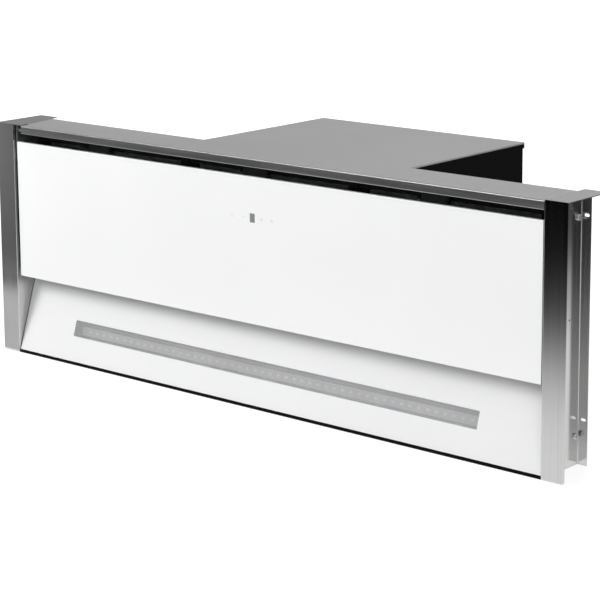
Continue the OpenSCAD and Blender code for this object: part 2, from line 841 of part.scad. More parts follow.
module lamp_channel() color("#b4b6b8") place() lean()
    difference() {
        union() {
            block(
                [-channel_x, channel_y, channel_s0 - channel_flange_w],
                [channel_x, channel_y + sheet_t, channel_s1 + channel_flange_w]
            );
            block(
                [-channel_x, channel_y, channel_s0 - sheet_t],
                [channel_x, channel_y + channel_d, channel_s1 + sheet_t]
            );
        }
        block(
            [-channel_x + sheet_t, channel_y - hole_eps, channel_s0],
            [channel_x - sheet_t, channel_y + channel_d - sheet_t, channel_s1]
        );
    }

module led_board() color("#e8e8e2") place() lean()
    block(
        [-window_x, led_board_y, led_s - led_board_w / 2],
        [window_x, led_board_y + led_board_t, led_s + led_board_w / 2]
    );

module led_chips() color("#f4e9a8") place() lean()
    for (i = [0:led_n - 1])
        translate([(i - (led_n - 1) / 2) * led_pitch, led_board_y - led_size[1] / 2, led_s])
            cube(led_size, center = true);

module led_driver() color("#dcdcd8") place() {
    mid_y = driver_y + driver_w / 2;
    block([driver_x, driver_y, sheet_t], [driver_x + driver_l, driver_y + driver_w, sheet_t + driver_h]);
    for (x = [driver_x - driver_lug_l, driver_x + driver_l])
        difference() {
            block(
                [x, mid_y - driver_lug_w / 2, sheet_t],
                [x + driver_lug_l, mid_y + driver_lug_w / 2, sheet_t + driver_lug_t]
            );
            translate([x + driver_lug_l / 2, mid_y, 0]) cylinder(r = screw_r, h = driver_h);
        }
}

module filter_top_rail() color(black) place() {
    difference() {
        union() {
            block([-wall_in_x, guide_y0, under_cover - sheet_t], [wall_in_x, rail_y1, under_cover]);
            block([-wall_in_x, guide_y0, top_rail_z], [wall_in_x, guide_y0 + sheet_t, under_cover]);
            block([-wall_in_x, guide_y0, top_rail_z], [wall_in_x, rail_y1, top_rail_z + sheet_t]);
        }
        for (x = filter_x)
            translate([x + latch_shift, 0, top_rail_z])
                block(
                    [-tongue_half - slide_clear, latch_y0 - slide_clear / 2, -hole_eps],
                    [tongue_half + slide_clear, filter_y, 2 * sheet_t]
                );
    }
}

module filter_bottom_rail() color(black) place() {
    block([-panel_x, rail_y0, rail_z], [panel_x, rail_y1, rail_z + sheet_t]);
    for (y = [rail_y0, rail_y1 - sheet_t])
        block([-panel_x, y, rail_z], [panel_x, y + sheet_t, rail_z + rail_leg_h]);
}

// A filter's frame, with the guides of its latch.
module filter_frame(x) {
    guide_z0 = latch_z1 - guide_h;
    guide_x = latch_w / 2 + slide_clear;
    difference() {
        block([x - filter_w / 2, filter_y, filter_z0], [x + filter_w / 2, filter_back, filter_z1]);
        block(
            [x - filter_w / 2 + filter_border, filter_y - hole_eps, filter_z0 + filter_border],
            [x + filter_w / 2 - filter_border, filter_back + hole_eps, filter_z1 - filter_border]
        );
    }
    for (dx = [-1, 1])
        translate([x + latch_shift, 0, 0]) on_side(dx) {
            block([guide_x, guide_y0, guide_z0], [guide_x + guide_t, filter_y, latch_z1]);
            block(
                [guide_x - guide_lip, guide_y0, guide_z0],
                [guide_x + guide_t, guide_y0 + guide_front_t, latch_z1]
            );
        }
}

module filter_frame_left() color("#c3c5c7") place() filter_frame(filter_x[0]);

module filter_frame_middle() color("#c3c5c7") place() filter_frame(filter_x[1]);

module filter_frame_right() color("#c3c5c7") place() filter_frame(filter_x[2]);

module filter_mesh(x) {
    mesh_y = filter_y + (filter_t - mesh_t) / 2;
    block(
        [x - filter_w / 2 + filter_border, mesh_y, filter_z0 + filter_border],
        [x + filter_w / 2 - filter_border, mesh_y + mesh_t, filter_z1 - filter_border]
    );
}

module filter_mesh_left() color("#9da0a3") place() filter_mesh(filter_x[0]);

module filter_mesh_middle() color("#9da0a3") place() filter_mesh(filter_x[1]);

module filter_mesh_right() color("#9da0a3") place() filter_mesh(filter_x[2]);

// A latch: a sliding plate with a tongue above and a thumb tab in front.
module filter_latch(x) {
    thumb_z0 = latch_z0 + sheet_t;
    translate([x + latch_shift, 0, 0]) {
        block([-latch_w / 2, latch_y0, latch_z0], [latch_w / 2, latch_y1, latch_z1]);
        block([-tongue_half, latch_y0, latch_z0], [tongue_half, latch_y1, tongue_z1]);
        block([-thumb_w / 2, latch_y0 - thumb_d, thumb_z0], [thumb_w / 2, latch_y1, thumb_z0 + thumb_h]);
    }
}

module filter_latch_left() color("#3a3c3e") place() filter_latch(filter_x[0]);

module filter_latch_middle() color("#3a3c3e") place() filter_latch(filter_x[1]);

module filter_latch_right() color("#3a3c3e") place() filter_latch(filter_x[2]);

// A bracket plate on the end wall that holds the hinge pin.
module hinge_bracket() {
    difference() {
        block(
            [bracket_x, bracket_y0, bracket_z1 - bracket_h],
            [wall_in_x, end_wall_y + bracket_lap, bracket_z1]
        );
        x_bar(pin_r, bracket_x - hole_eps, wall_in_x + hole_eps, hinge_y, hinge_z);
    }
}

// A bent spring tab that stands in the notch beside the left trim.
module notch_tab() {
    tab_t = 1.2;
    tab_w = 6;
    tab_top = under_cover - fit_gap;
    tab_z0 = bracket_z1 - sheet_t;
    tab_low = lip_z + 2;
    x0 = bracket_x;
    x1 = in_x - notch_w + 2;
    mid = (x0 + x1) / 2;
    translate([0, bracket_y0 + tab_w, 0]) rotate([90, 0, 0]) linear_extrude(tab_w) polygon([
        [wall_in_x, tab_z0],
        [wall_in_x, tab_top],
        [x0 + tab_t / 2, tab_top],
        [mid, tab_low + tab_t],
        [x1 + tab_t, tab_top],
        [x1, tab_top],
        [mid, tab_low - tab_t],
        [x0, tab_top - 3],
        [x0, tab_z0]
    ]);
}

module hinge_bracket_left() color("#b9bbbd") place() on_side(-1) {
    hinge_bracket();
    notch_tab();
}

module hinge_bracket_right() color("#b9bbbd") place() hinge_bracket();

module hinge_pins() color("#c8cacb") place()
    for (side = [-1, 1])
        on_side(side) x_bar(pin_r, pin_x0, wall_in_x, hinge_y, hinge_z);

module magnet_catches() color("#222426") place()
    for (side = [-1, 1])
        on_side(side)
            block(
                [catch_x - catch_w / 2, catch_y0, catch_z],
                [catch_x + catch_w / 2, rail_y0, catch_z + catch_h]
            );

// One of the generic signs printed on the glass.
module icon_sign(i) {
    if (i == 0) {
        difference() {
            circle(r = icon_size / 2);
            circle(r = icon_size / 2 - icon_line);
        }
    }
    if (i == 1) square([icon_size, icon_line], center = true);
    if (i == 2) {
        square([icon_size, icon_line], center = true);
        square([icon_line, icon_size], center = true);
    }
    if (i == 3) {
        circle(r = icon_size / 4);
        for (a = [0:60:359])
            rotate(a) translate([icon_size / 3, -icon_line / 2]) square([icon_size / 6, icon_line]);
    }
}

// All the printed signs, as solids that reach in from the glass's face.
module icon_solids(depth) {
    for (i = [0:len(icon_x) - 1])
        translate([icon_x[i], glass_y + depth, icon_z])
            rotate([90, 0, 0]) linear_extrude(depth) icon_sign(i);
}

module upper_glass() color(white_glass) place()
    difference() {
        block([-glass_x, glass_y, glass_z], [glass_x, glass_back, glass_top]);
        block(
            [-display_w / 2, glass_y - hole_eps, icon_z - display_h / 2],
            [display_w / 2, glass_y + display_t, icon_z + display_h / 2]
        );
        icon_solids(icon_t);
    }

module display_window() color("#a2a4a5") place()
    block(
        [-display_w / 2, glass_y, icon_z - display_h / 2],
        [display_w / 2, glass_y + display_t, icon_z + display_h / 2]
    );

module touch_icons() color("#d4d6d6") place() icon_solids(icon_t);

module door_tray() color("#8e9092") place() {
    hole_x = touch_w / 2 + touch_gap;
    hole_z = touch_h / 2 + touch_gap;
    side_x = tray_x - sheet_t;
    difference() {
        union() {
            block([-tray_x, glass_back, tray_z0], [tray_x, glass_back + sheet_t, tray_z1]);
            for (z = [tray_z0, tray_z1 - sheet_t])
                block([-tray_x, glass_back, z], [tray_x, tray_back, z + sheet_t]);
            for (side = [-1, 1])
                on_side(side) {
                    block([side_x, glass_back, tray_z0], [tray_x, tray_back, tray_z1]);
                    x_bar(ear_r, tray_x - ear_l, tray_x, hinge_y, hinge_z);
                }
            block([-side_x, tray_back - sheet_t, tray_z0], [side_x, tray_back, tray_z0 + tray_return_h]);
        }
        block(
            [-hole_x, glass_back - hole_eps, icon_z - hole_z],
            [hole_x, glass_back + sheet_t + hole_eps, icon_z + hole_z]
        );
        for (side = [-1, 1])
            on_side(side) x_bar(pin_r + run_clear, pin_x0 - hole_eps, tray_x + hole_eps, hinge_y, hinge_z);
    }
}

module door_strikes() color("#7d8083") place()
    for (side = [-1, 1])
        on_side(side)
            block(
                [catch_x - catch_w / 2, tray_back, tray_z0 + sheet_t],
                [catch_x + catch_w / 2, tray_back + strike_t, tray_z0 + tray_return_h]
            );

module touch_module() color("#1c1d1f") place()
    difference() {
        block(
            [-touch_w / 2, glass_back, icon_z - touch_h / 2],
            [touch_w / 2, glass_back + touch_d, icon_z + touch_h / 2]
        );
        block(
            [-touch_w / 2 + touch_wall, glass_back - hole_eps, icon_z - touch_h / 2 + touch_wall],
            [touch_w / 2 - touch_wall, glass_back + touch_d - touch_wall, icon_z + touch_h / 2 - touch_wall]
        );
    }

module touch_board() color("#1f6a3d") place() {
    board_x = touch_w / 2 - touch_wall;
    board_z = touch_h / 2 - touch_wall;
    board_y = glass_back + pcb_t;
    block([-board_x, board_y, icon_z - board_z], [board_x, board_y + pcb_t, icon_z + board_z]);
    block(
        [-display_w / 2, glass_back, icon_z - display_h / 2],
        [display_w / 2, board_y, icon_z + display_h / 2]
    );
    for (x = icon_x) y_bar(icon_size, glass_back, board_y, x, icon_z);
}

// Radius of the fan housing after the given turn from its cut-off.
function scroll_r(turn) = scroll_r_min + (scroll_r_max - scroll_r_min) * turn / scroll_sweep;

// The housing's outline, drawn in by the given amount and reaching to the given depth.
module scroll_outline(inset, reach) {
    spiral = [
        for (i = [0:scroll_steps])
            let (turn = i * scroll_sweep / scroll_steps, a = cutoff_a - turn, r = scroll_r(turn) - inset)
            [fan_y + r * cos(a), fan_z + r * sin(a)]
    ];
    polygon(concat(spiral, [
        [reach, outlet_z + outlet_half - inset],
        [reach, outlet_z - outlet_half + inset]
    ]));
}

// The right half of the fan housing, on feet, with its inlet nozzle.
module scroll_half() {
    difference() {
        union() {
            along_x(0, scroll_x) scroll_outline(0, box_inside_y);
            for (dy = [-scroll_foot_y, scroll_foot_y])
                translate([0, fan_y + dy, 0])
                    block(
                        [scroll_x - scroll_foot_w, -scroll_foot_l / 2, sheet_t],
                        [scroll_x, scroll_foot_l / 2, fan_z - scroll_r_min]
                    );
        }
        along_x(-hole_eps, scroll_x - scroll_t) scroll_outline(scroll_t, box_inside_y + hole_eps);
        x_bar(inlet_r, 0, scroll_x + hole_eps, fan_y, fan_z);
        for (a = arm_angles)
            translate([0, fan_y, fan_z]) rotate([a, 0, 0])
                x_bar(screw_hole_r, scroll_x - 2 * scroll_t, scroll_x + hole_eps, 0, arm_screw_r);
    }
    difference() {
        x_bar(inlet_r + scroll_t, scroll_x - scroll_t - nozzle_l, scroll_x - scroll_t, fan_y, fan_z);
        x_bar(inlet_r, 0, scroll_x, fan_y, fan_z);
    }
}

module scroll_left() color("#55585b") place() on_side(-1) scroll_half();

module scroll_right() color("#55585b") place() scroll_half();

module impeller() color("#2d2f31") place() translate([0, fan_y, fan_z]) {
    inner_r = fan_r - blade_l;
    difference() {
        union() {
            x_bar(fan_r, -ring_t / 2, ring_t / 2, 0, 0);
            x_bar(hub_r, -hub_l / 2, hub_l / 2, 0, 0);
        }
        x_bar(shaft_r, -hub_l, hub_l, 0, 0);
    }
    for (x = [-fan_l / 2, fan_l / 2 - ring_t])
        difference() {
            x_bar(fan_r, x, x + ring_t, 0, 0);
            x_bar(inner_r, x - hole_eps, x + ring_t + hole_eps, 0, 0);
        }
    for (i = [0:blade_n - 1])
        rotate([i * 360 / blade_n, 0, 0])
            translate([0, 0, fan_r - (blade_l + blade_t) / 2]) rotate([blade_lean, 0, 0])
                cube([fan_l - ring_t / 2, blade_t, blade_l - blade_t], center = true);
}

module motor_shaft() color("#c8cacb") place()
    x_bar(shaft_r, -hub_l / 2 - shaft_tail, motor_x1 + shaft_past, fan_y, fan_z);

module motor_body() color("#8a8d90") place()
    difference() {
        union() {
            x_bar(motor_r, motor_x + motor_step_l, motor_x1, fan_y, fan_z);
            x_bar(motor_r - motor_step_r, motor_x, motor_x1, fan_y, fan_z);
        }
        x_bar(bush_r, motor_x - hole_eps, motor_x1 + hole_eps, fan_y, fan_z);
    }

module motor_bushes() color("#b08d57") place()
    for (x = [motor_x, motor_x1 - bush_l])
        difference() {
            x_bar(bush_r, x, x + bush_l, fan_y, fan_z);
            x_bar(shaft_bore, x - hole_eps, x + bush_l + hole_eps, fan_y, fan_z);
        }

// The bracket's end plate, seen along the fan's axis: a disc with three arms.
module bracket_plate_outline() {
    difference() {
        union() {
            circle(r = cup_r);
            for (a = arm_angles)
                rotate(a) translate([-arm_w / 2, motor_r]) square([arm_w, arm_end_r - motor_r]);
        }
        circle(r = bush_r + cup_open);
        for (a = arm_angles) rotate(a) translate([0, arm_screw_r]) circle(r = screw_hole_r);
    }
}

module motor_bracket() color("#77797c") place() translate([0, fan_y, fan_z]) {
    along_x(scroll_x, scroll_x + arm_t) bracket_plate_outline();
    along_x(motor_x1, scroll_x)
        difference() {
            circle(r = cup_r);
            circle(r = bush_r + cup_open);
        }
    along_x(motor_x1 - cup_l, motor_x1)
        difference() {
            circle(r = cup_r);
            circle(r = motor_r + cup_clear);
        }
}

module motor_screws() color("#c8cacb") place()
    for (a = arm_angles)
        translate([scroll_x + arm_t, fan_y, fan_z]) rotate([a, 0, 0])
            translate([0, 0, arm_screw_r]) screw_in_x();

module control_box() color("#26282a") place()
    difference() {
        block([control_x0, control_y0, control_z], [control_x1, control_y1, control_z + control_h]);
        block(
            [control_x0 - hole_eps, control_y0 + control_t, control_z + control_t],
            [control_x1 - control_t, control_y1 - control_t, control_z + control_h - control_t]
        );
    }

module control_box_lid() color("#303234") place() {
    plug_in = control_t + slide_clear;
    plug_l = 3;
    block([control_x0 - control_t, control_y0, control_z], [control_x0, control_y1, control_z + control_h]);
    block(
        [control_x0 - control_t, control_y0 + plug_in, control_z + plug_in],
        [control_x0 + plug_l, control_y1 - plug_in, control_z + control_h - plug_in]
    );
}

module power_board() color("#1f6a3d") place() {
    board_x = control_x1 - control_t - board_stand;
    y0 = control_y0 + control_t + board_edge / 4;
    y1 = control_y1 - control_t - board_edge / 4;
    z0 = control_z + control_t + board_edge / 4;
    z1 = control_z + control_h - control_t - board_edge / 4;
    part_z1 = z1 - 2 * board_edge;
    supply_y0 = y0 + 2.5 * board_edge;
    relay_y1 = y1 - 3 * board_edge;
    can_z = part_z1 - supply_size[2] - 3 * board_edge;
    block([board_x, y0, z0], [board_x + pcb_t, y1, z1]);
    for (y = [y0 + board_edge, y1 - board_edge], z = [z0 + board_edge, z1 - board_edge])
        x_bar(standoff_r, board_x, control_x1 - control_t, y, z);
    block(
        [board_x - supply_size[0], supply_y0, part_z1 - supply_size[2]],
        [board_x, supply_y0 + supply_size[1], part_z1]
    );
    for (i = [0:2])
        translate([board_x, relay_y1, part_z1 - i * relay_pitch]) translate(-relay_size) cube(relay_size);
    for (i = [0:1]) x_bar(can_r, board_x - can_l, board_x, supply_y0 + can_r + i * can_pitch, can_z);
}

module run_capacitor() color("#dfe0e0") place() {
    tip_l = 5;
    capacitor_x = control_x1 - control_t - board_stand - pcb_t - capacitor_gap - capacitor_r;
    translate([capacitor_x, control_y0 + control_t + capacitor_r + capacitor_gap, control_z + control_t]) {
        cylinder(r = capacitor_r, h = capacitor_l);
        cylinder(r = capacitor_r / 3, h = capacitor_l + tip_l);
    }
}

// A block with four clamping holes that are open above.
module terminal_block() color("#e4e2d8") place() {
    way_l = terminal_size[0] / 4;
    translate([
        control_x0 + 2 * terminal_gap,
        control_y1 - control_t - terminal_gap - terminal_size[0],
        control_z + control_t
    ])
        difference() {
            cube([terminal_size[1], terminal_size[0], terminal_size[2]]);
            for (i = [0:3])
                translate([terminal_size[1] / 2, (i + 0.5) * way_l, terminal_size[2] / 2])
                    cylinder(r = terminal_r, h = terminal_size[2]);
        }
}

// The hexagon of the gland's flange and of its nut, from the given depth backwards.
module gland_hexagon(y) {
    translate([gland_x, y, gland_z])
        rotate([-90, 0, 0]) cylinder(r = gland_r * 1.5, h = gland_nut_t, $fn = 6);
}

module cable_gland() color("#1b1c1e") place()
    difference() {
        union() {
            gland_hexagon(shell_y1);
            y_bar(gland_r, box_inside_y - gland_thread_l, shell_y1 + sheet_t, gland_x, gland_z);
            y_bar(gland_r * 1.15, shell_y1 + sheet_t, dome_y1, gland_x, gland_z);
        }
        y_bar(gland_bore_r, box_inside_y - 2 * gland_thread_l, dome_y1 + hole_eps, gland_x, gland_z);
    }

module gland_nut() color("#1b1c1e") place()
    difference() {
        gland_hexagon(box_inside_y - gland_nut_t);
        y_bar(gland_r, box_inside_y - 2 * gland_nut_t, box_inside_y + hole_eps, gland_x, gland_z);
    }

// The four places of the collar's screws round the outlet.
module collar_screw_places() {
    for (a = [45:90:315])
        translate([collar_screw_r * cos(a), 0, outlet_z + collar_screw_r * sin(a)]) children();
}

module outlet_collar() color("#1d1e20") place()
    difference() {
        union() {
            y_bar(collar_flange_r, shell_y1, flange_y1, 0, outlet_z);
            y_bar(collar_r, shell_y1, total_d, 0, outlet_z);
        }
        y_bar(outlet_r - ledge_w, shell_y1 - hole_eps, total_d + hole_eps, 0, outlet_z);
        y_bar(outlet_r, flap_y - flap_t / 2 - slide_clear, total_d + hole_eps, 0, outlet_z);
        y_bar(outlet_r, shell_y1 - hole_eps, flange_y1, 0, outlet_z);
        collar_screw_places() y_bar(screw_hole_r, shell_y1 - hole_eps, flange_y1 + hole_eps, 0, 0);
        for (x = [-flap_pin_x, flap_pin_x])
            translate([x, flap_y, outlet_z])
                cylinder(r = flap_pin_r, h = 2 * collar_flange_r, center = true);
    }

module collar_screws() color("#c8cacb") place()
    collar_screw_places() translate([0, flange_y1, 0]) screw_in_y();

module damper_pins() color("#c8cacb") place()
    for (x = [-flap_pin_x, flap_pin_x])
        translate([x, flap_y, outlet_z])
            cylinder(r = flap_pin_r, h = 2 * (collar_r - sheet_t), center = true);

// The right damper flap: half a disc on a knuckle that turns on its pin.
module damper_flap() {
    knuckle_l = 2 * (outlet_r - knuckle_end);
    difference() {
        union() {
            intersection() {
                y_bar(flap_r, flap_y - flap_t / 2, flap_y + flap_t / 2, 0, outlet_z);
                block(
                    [flap_pin_x, flap_y - flap_t, outlet_z - flap_r],
                    [flap_r, flap_y + flap_t, outlet_z + flap_r]
                );
            }
            translate([flap_pin_x, flap_y, outlet_z]) cylinder(r = knuckle_r, h = knuckle_l, center = true);
        }
        translate([flap_pin_x, flap_y, outlet_z])
            cylinder(r = flap_pin_r + run_clear, h = 3 * flap_r, center = true);
    }
}

module damper_flap_left() color("#303234") place() on_side(-1) damper_flap();

module damper_flap_right() color("#303234") place() damper_flap();

top_cover();
front_chassis();
blower_box();
left_trim();
right_trim();
trim_screws();
lower_glass();
lower_panel_tray();
lamp_window();
lamp_channel();
led_board();
led_chips();
led_driver();
filter_top_rail();
filter_bottom_rail();
filter_frame_left();
filter_frame_middle();
filter_frame_right();
filter_mesh_left();
filter_mesh_middle();
filter_mesh_right();
filter_latch_left();
filter_latch_middle();
filter_latch_right();
hinge_bracket_left();
hinge_bracket_right();
hinge_pins();
magnet_catches();
upper_glass();
door_tray();
door_strikes();
touch_module();
touch_board();
display_window();
touch_icons();
scroll_left();
scroll_right();
impeller();
motor_shaft();
motor_body();
motor_bushes();
motor_bracket();
motor_screws();
control_box();
control_box_lid();
power_board();
run_capacitor();
terminal_block();
cable_gland();
gland_nut();
outlet_collar();
collar_screws();
damper_pins();
damper_flap_left();
damper_flap_right();
box_screws();
cover_screws();
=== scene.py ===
# Built-in range hood with a white glass front: looks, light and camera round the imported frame.
import math
import bmesh
import bpy
from mathutils import Matrix, Vector


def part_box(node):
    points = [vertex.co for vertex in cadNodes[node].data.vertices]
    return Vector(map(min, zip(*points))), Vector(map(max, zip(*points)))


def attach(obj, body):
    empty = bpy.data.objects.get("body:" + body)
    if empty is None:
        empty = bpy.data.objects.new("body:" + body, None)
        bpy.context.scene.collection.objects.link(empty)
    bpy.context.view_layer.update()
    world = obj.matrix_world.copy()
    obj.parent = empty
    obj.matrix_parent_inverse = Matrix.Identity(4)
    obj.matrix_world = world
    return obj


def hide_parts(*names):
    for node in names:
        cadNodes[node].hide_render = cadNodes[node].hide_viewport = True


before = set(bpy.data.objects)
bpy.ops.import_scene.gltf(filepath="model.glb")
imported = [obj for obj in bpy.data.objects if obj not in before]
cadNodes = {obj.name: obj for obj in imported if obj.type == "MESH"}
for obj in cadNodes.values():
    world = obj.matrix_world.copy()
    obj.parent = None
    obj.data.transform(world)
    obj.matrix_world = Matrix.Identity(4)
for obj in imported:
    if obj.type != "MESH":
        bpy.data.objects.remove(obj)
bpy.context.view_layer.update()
mm = 0.001
print("frame loaded:", len(cadNodes), "nodes")


# Camera: it stands to the right of the hood and a little above it.
cameraView = {
    "place": (1.6255, -1.9693, 0.7259),
    "yaw": 40.687,
    "pitch": 10.384,
    "roll": -0.381,
    "lens": 124.5,
    "sensor": 36,
    "shiftUp": -0.2,
}


def makeCamera(view):
    data = bpy.data.cameras.new("camera")
    data.lens = view["lens"]
    data.sensor_width = view["sensor"]
    data.shift_y = view["shiftUp"]
    camera = bpy.data.objects.new("camera", data)
    turn = Matrix.Rotation(math.radians(view["yaw"]), 4, "Z")
    tip = Matrix.Rotation(math.radians(90 - view["pitch"]), 4, "X")
    roll = Matrix.Rotation(math.radians(view["roll"]), 4, "Z")
    camera.matrix_world = Matrix.Translation(view["place"]) @ turn @ tip @ roll
    bpy.context.collection.objects.link(camera)
    bpy.context.scene.camera = camera


makeCamera(cameraView)
bpy.context.scene.view_settings.view_transform = "Standard"


# Shader nodes: a value that is a socket is linked, and any other value is set on the input.
def addNode(tree, kind, inputs=None, **settings):
    made = tree.nodes.new("ShaderNode" + kind)
    for key, value in settings.items():
        setattr(made, key, value)
    for key, value in (inputs or {}).items():
        if isinstance(value, bpy.types.NodeSocket):
            tree.links.new(value, made.inputs[key])
        else:
            made.inputs[key].default_value = value
    return made


def startMaterial(name):
    material = bpy.data.materials.new(name)
    material.use_nodes = True
    material.node_tree.nodes.clear()
    return material, material.node_tree


def addSurface(tree, inputs):
    shader = addNode(tree, "BsdfPrincipled", inputs)
    addNode(tree, "OutputMaterial", {"Surface": shader.outputs["BSDF"]})


def objectPattern(tree, stretch=(1, 1, 1), turn=(0, 0, 0)):
    coordinates = addNode(tree, "TexCoord")
    return addNode(tree, "Mapping", {
        "Vector": coordinates.outputs["Object"],
        "Scale": stretch,
        "Rotation": turn,
    }).outputs["Vector"]


def noise(tree, vector, scale, detail=3, roughness=0.5):
    return addNode(tree, "TexNoise", {
        "Vector": vector,
        "Scale": scale,
        "Detail": detail,
        "Roughness": roughness,
    }).outputs["Fac"]


def calculated(tree, operation, *values):
    return addNode(tree, "Math", dict(enumerate(values)), operation=operation).outputs[0]


def mapped(tree, value, low=0, high=1, fromLow=0.3, fromHigh=0.7):
    return addNode(tree, "MapRange", {
        "Value": value,
        "From Min": fromLow,
        "From Max": fromHigh,
        "To Min": low,
        "To Max": high,
    }).outputs["Result"]


def rgba(colour):
    return (*colour, 1) if isinstance(colour, tuple) else colour


# A Mix node has its numbers at sockets 2 and 3 with result 0, and its colours at 6 and 7 with result 2.
def between(tree, factor, first, second):
    return addNode(tree, "Mix", {0: factor, 2: first, 3: second}).outputs[0]


def blended(tree, factor, first, second, blend="MIX"):
    sockets = {0: factor, 6: rgba(first), 7: rgba(second)}
    return addNode(tree, "Mix", sockets, data_type="RGBA", blend_type=blend).outputs[2]


def bumped(tree, height, depth, strength=0.5, normal=None):
    inputs = {"Height": height, "Distance": depth, "Strength": strength}
    if normal is not None:
        inputs["Normal"] = normal
    return addNode(tree, "Bump", inputs).outputs["Normal"]


def twoTones(tree, pattern, look, **reach):
    return blended(tree, mapped(tree, pattern, **reach), look["dark"], look["light"])


def uneven(tree, pattern, look, spread, **reach):
    return mapped(tree, pattern, look["roughness"] - spread, look["roughness"] + spread, **reach)


# Brushed sheet steel: fine lines along the grain, a cloudy tone and uneven roughness.
def makeSteel(name, look):
    material, tree = startMaterial(name)
    lines = noise(tree, objectPattern(tree, look["grain"]), scale=1, detail=4, roughness=0.65)
    clouds = noise(tree, objectPattern(tree), look["cloudScale"])
    shade = mapped(tree, clouds, low=look["cloudLow"])
    normal = bumped(tree, lines, look["bumpDepth"])
    if "waveDepth" in look:
        waves = noise(tree, objectPattern(tree, look["waveStretch"]), look["waveScale"], detail=1)
        normal = bumped(tree, waves, look["waveDepth"], strength=1, normal=normal)
    addSurface(tree, {
        "Metallic": look.get("metallic", 1),
        "Base Color": blended(tree, 1, twoTones(tree, lines, look), shade, blend="MULTIPLY"),
        "Roughness": uneven(tree, lines, look, look["roughSpread"]),
        "Normal": normal,
    })
    return material


# Baked powder paint with a fine orange-peel skin.
def makePaint(name, look):
    material, tree = startMaterial(name)
    peel = noise(tree, objectPattern(tree), look["peelScale"], detail=2)
    dust = noise(tree, objectPattern(tree), look["cloudScale"], detail=4)
    addSurface(tree, {
        "Specular IOR Level": look["specular"],
        "Base Color": twoTones(tree, dust, look),
        "Roughness": uneven(tree, dust, look, spread=0.05),
        "Normal": bumped(tree, peel, look["bumpDepth"]),
    })
    return material


# Glass painted white behind: an even body, a clear gloss and slightly green edges.
def makeWhiteGlass(name, look):
    material, tree = startMaterial(name)
    facing = addNode(tree, "SeparateXYZ", {"Vector": addNode(tree, "NewGeometry").outputs["Normal"]})
    onFace = mapped(tree, calculated(tree, "ABSOLUTE", facing.outputs["Y"]), fromLow=0.8, fromHigh=0.93)
    clouds = noise(tree, objectPattern(tree), look["cloudScale"], detail=2)
    smears = noise(tree, objectPattern(tree, (1, 1, 3)), look["smearScale"], detail=5, roughness=0.6)
    addSurface(tree, {
        "IOR": 1.5,
        "Specular IOR Level": look["specular"],
        "Base Color": blended(tree, onFace, look["edge"], twoTones(tree, clouds, look)),
        "Roughness": mapped(
            tree, smears, look["roughness"], look["smearedRoughness"], fromLow=0.35, fromHigh=0.75),
        "Normal": bumped(tree, clouds, look["bumpDepth"], strength=0.2),
    })
    return material


# Hot-dipped sheet: pale crystals with soft borders.
def makeGalvanised(name, look):
    material, tree = startMaterial(name)
    vector = objectPattern(tree)
    crystals = addNode(tree, "TexVoronoi", {"Vector": vector, "Scale": look["crystalScale"], "Randomness": 1})
    tone = crystals.outputs["Color"]
    reach = {"fromLow": 0.1, "fromHigh": 0.9}
    fine = noise(tree, vector, look["fineScale"], detail=4)
    addSurface(tree, {
        "Metallic": 1,
        "Base Color": twoTones(tree, tone, look, **reach),
        "Roughness": uneven(tree, tone, look, spread=0.08, **reach),
        "Normal": bumped(tree, fine, look["bumpDepth"], strength=0.3),
    })
    return material


# Moulded plastic with a spark-eroded grain.
def makePlastic(name, look):
    material, tree = startMaterial(name)
    vector = objectPattern(tree)
    grain = noise(tree, vector, look["grainScale"], detail=2)
    clouds = noise(tree, vector, scale=18)
    addSurface(tree, {
        "Specular IOR Level": 0.4,
        "Base Color": twoTones(tree, clouds, look),
        "Roughness": uneven(tree, clouds, look, spread=0.04),
        "Normal": bumped(tree, grain, look["bumpDepth"], strength=0.4),
    })
    return material


# Circuit board: copper tracks under a coloured lacquer.
def makeBoard(name, look):
    material, tree = startMaterial(name)
    tracks = addNode(tree, "TexBrick", {
        "Vector": objectPattern(tree, turn=(math.radians(90), 0, 0)),
        "Scale": look["trackScale"],
        "Mortar Size": 0.04,
        "Color1": rgba(look["light"]),
        "Color2": rgba(look["light"]),
        "Mortar": rgba(look["dark"]),
    })
    addSurface(tree, {
        "Base Color": tracks.outputs["Color"],
        "Roughness": look["roughness"],
        "Normal": bumped(tree, tracks.outputs["Fac"], look["bumpDepth"], strength=0.4),
    })
    return material


# Frosted window: light goes through it, much scattered.
def makeFrosted(name, look):
    material, tree = startMaterial(name)
    vector = objectPattern(tree)
    frost = noise(tree, vector, look["frostScale"])
    clouds = noise(tree, vector, look["cloudScale"])
    addSurface(tree, {
        "IOR": look["ior"],
        "Transmission Weight": look["transmission"],
        "Base Color": twoTones(tree, clouds, look),
        "Roughness": uneven(tree, frost, look, spread=0.05),
        "Normal": bumped(tree, frost, look["bumpDepth"], strength=0.3),
    })
    return material


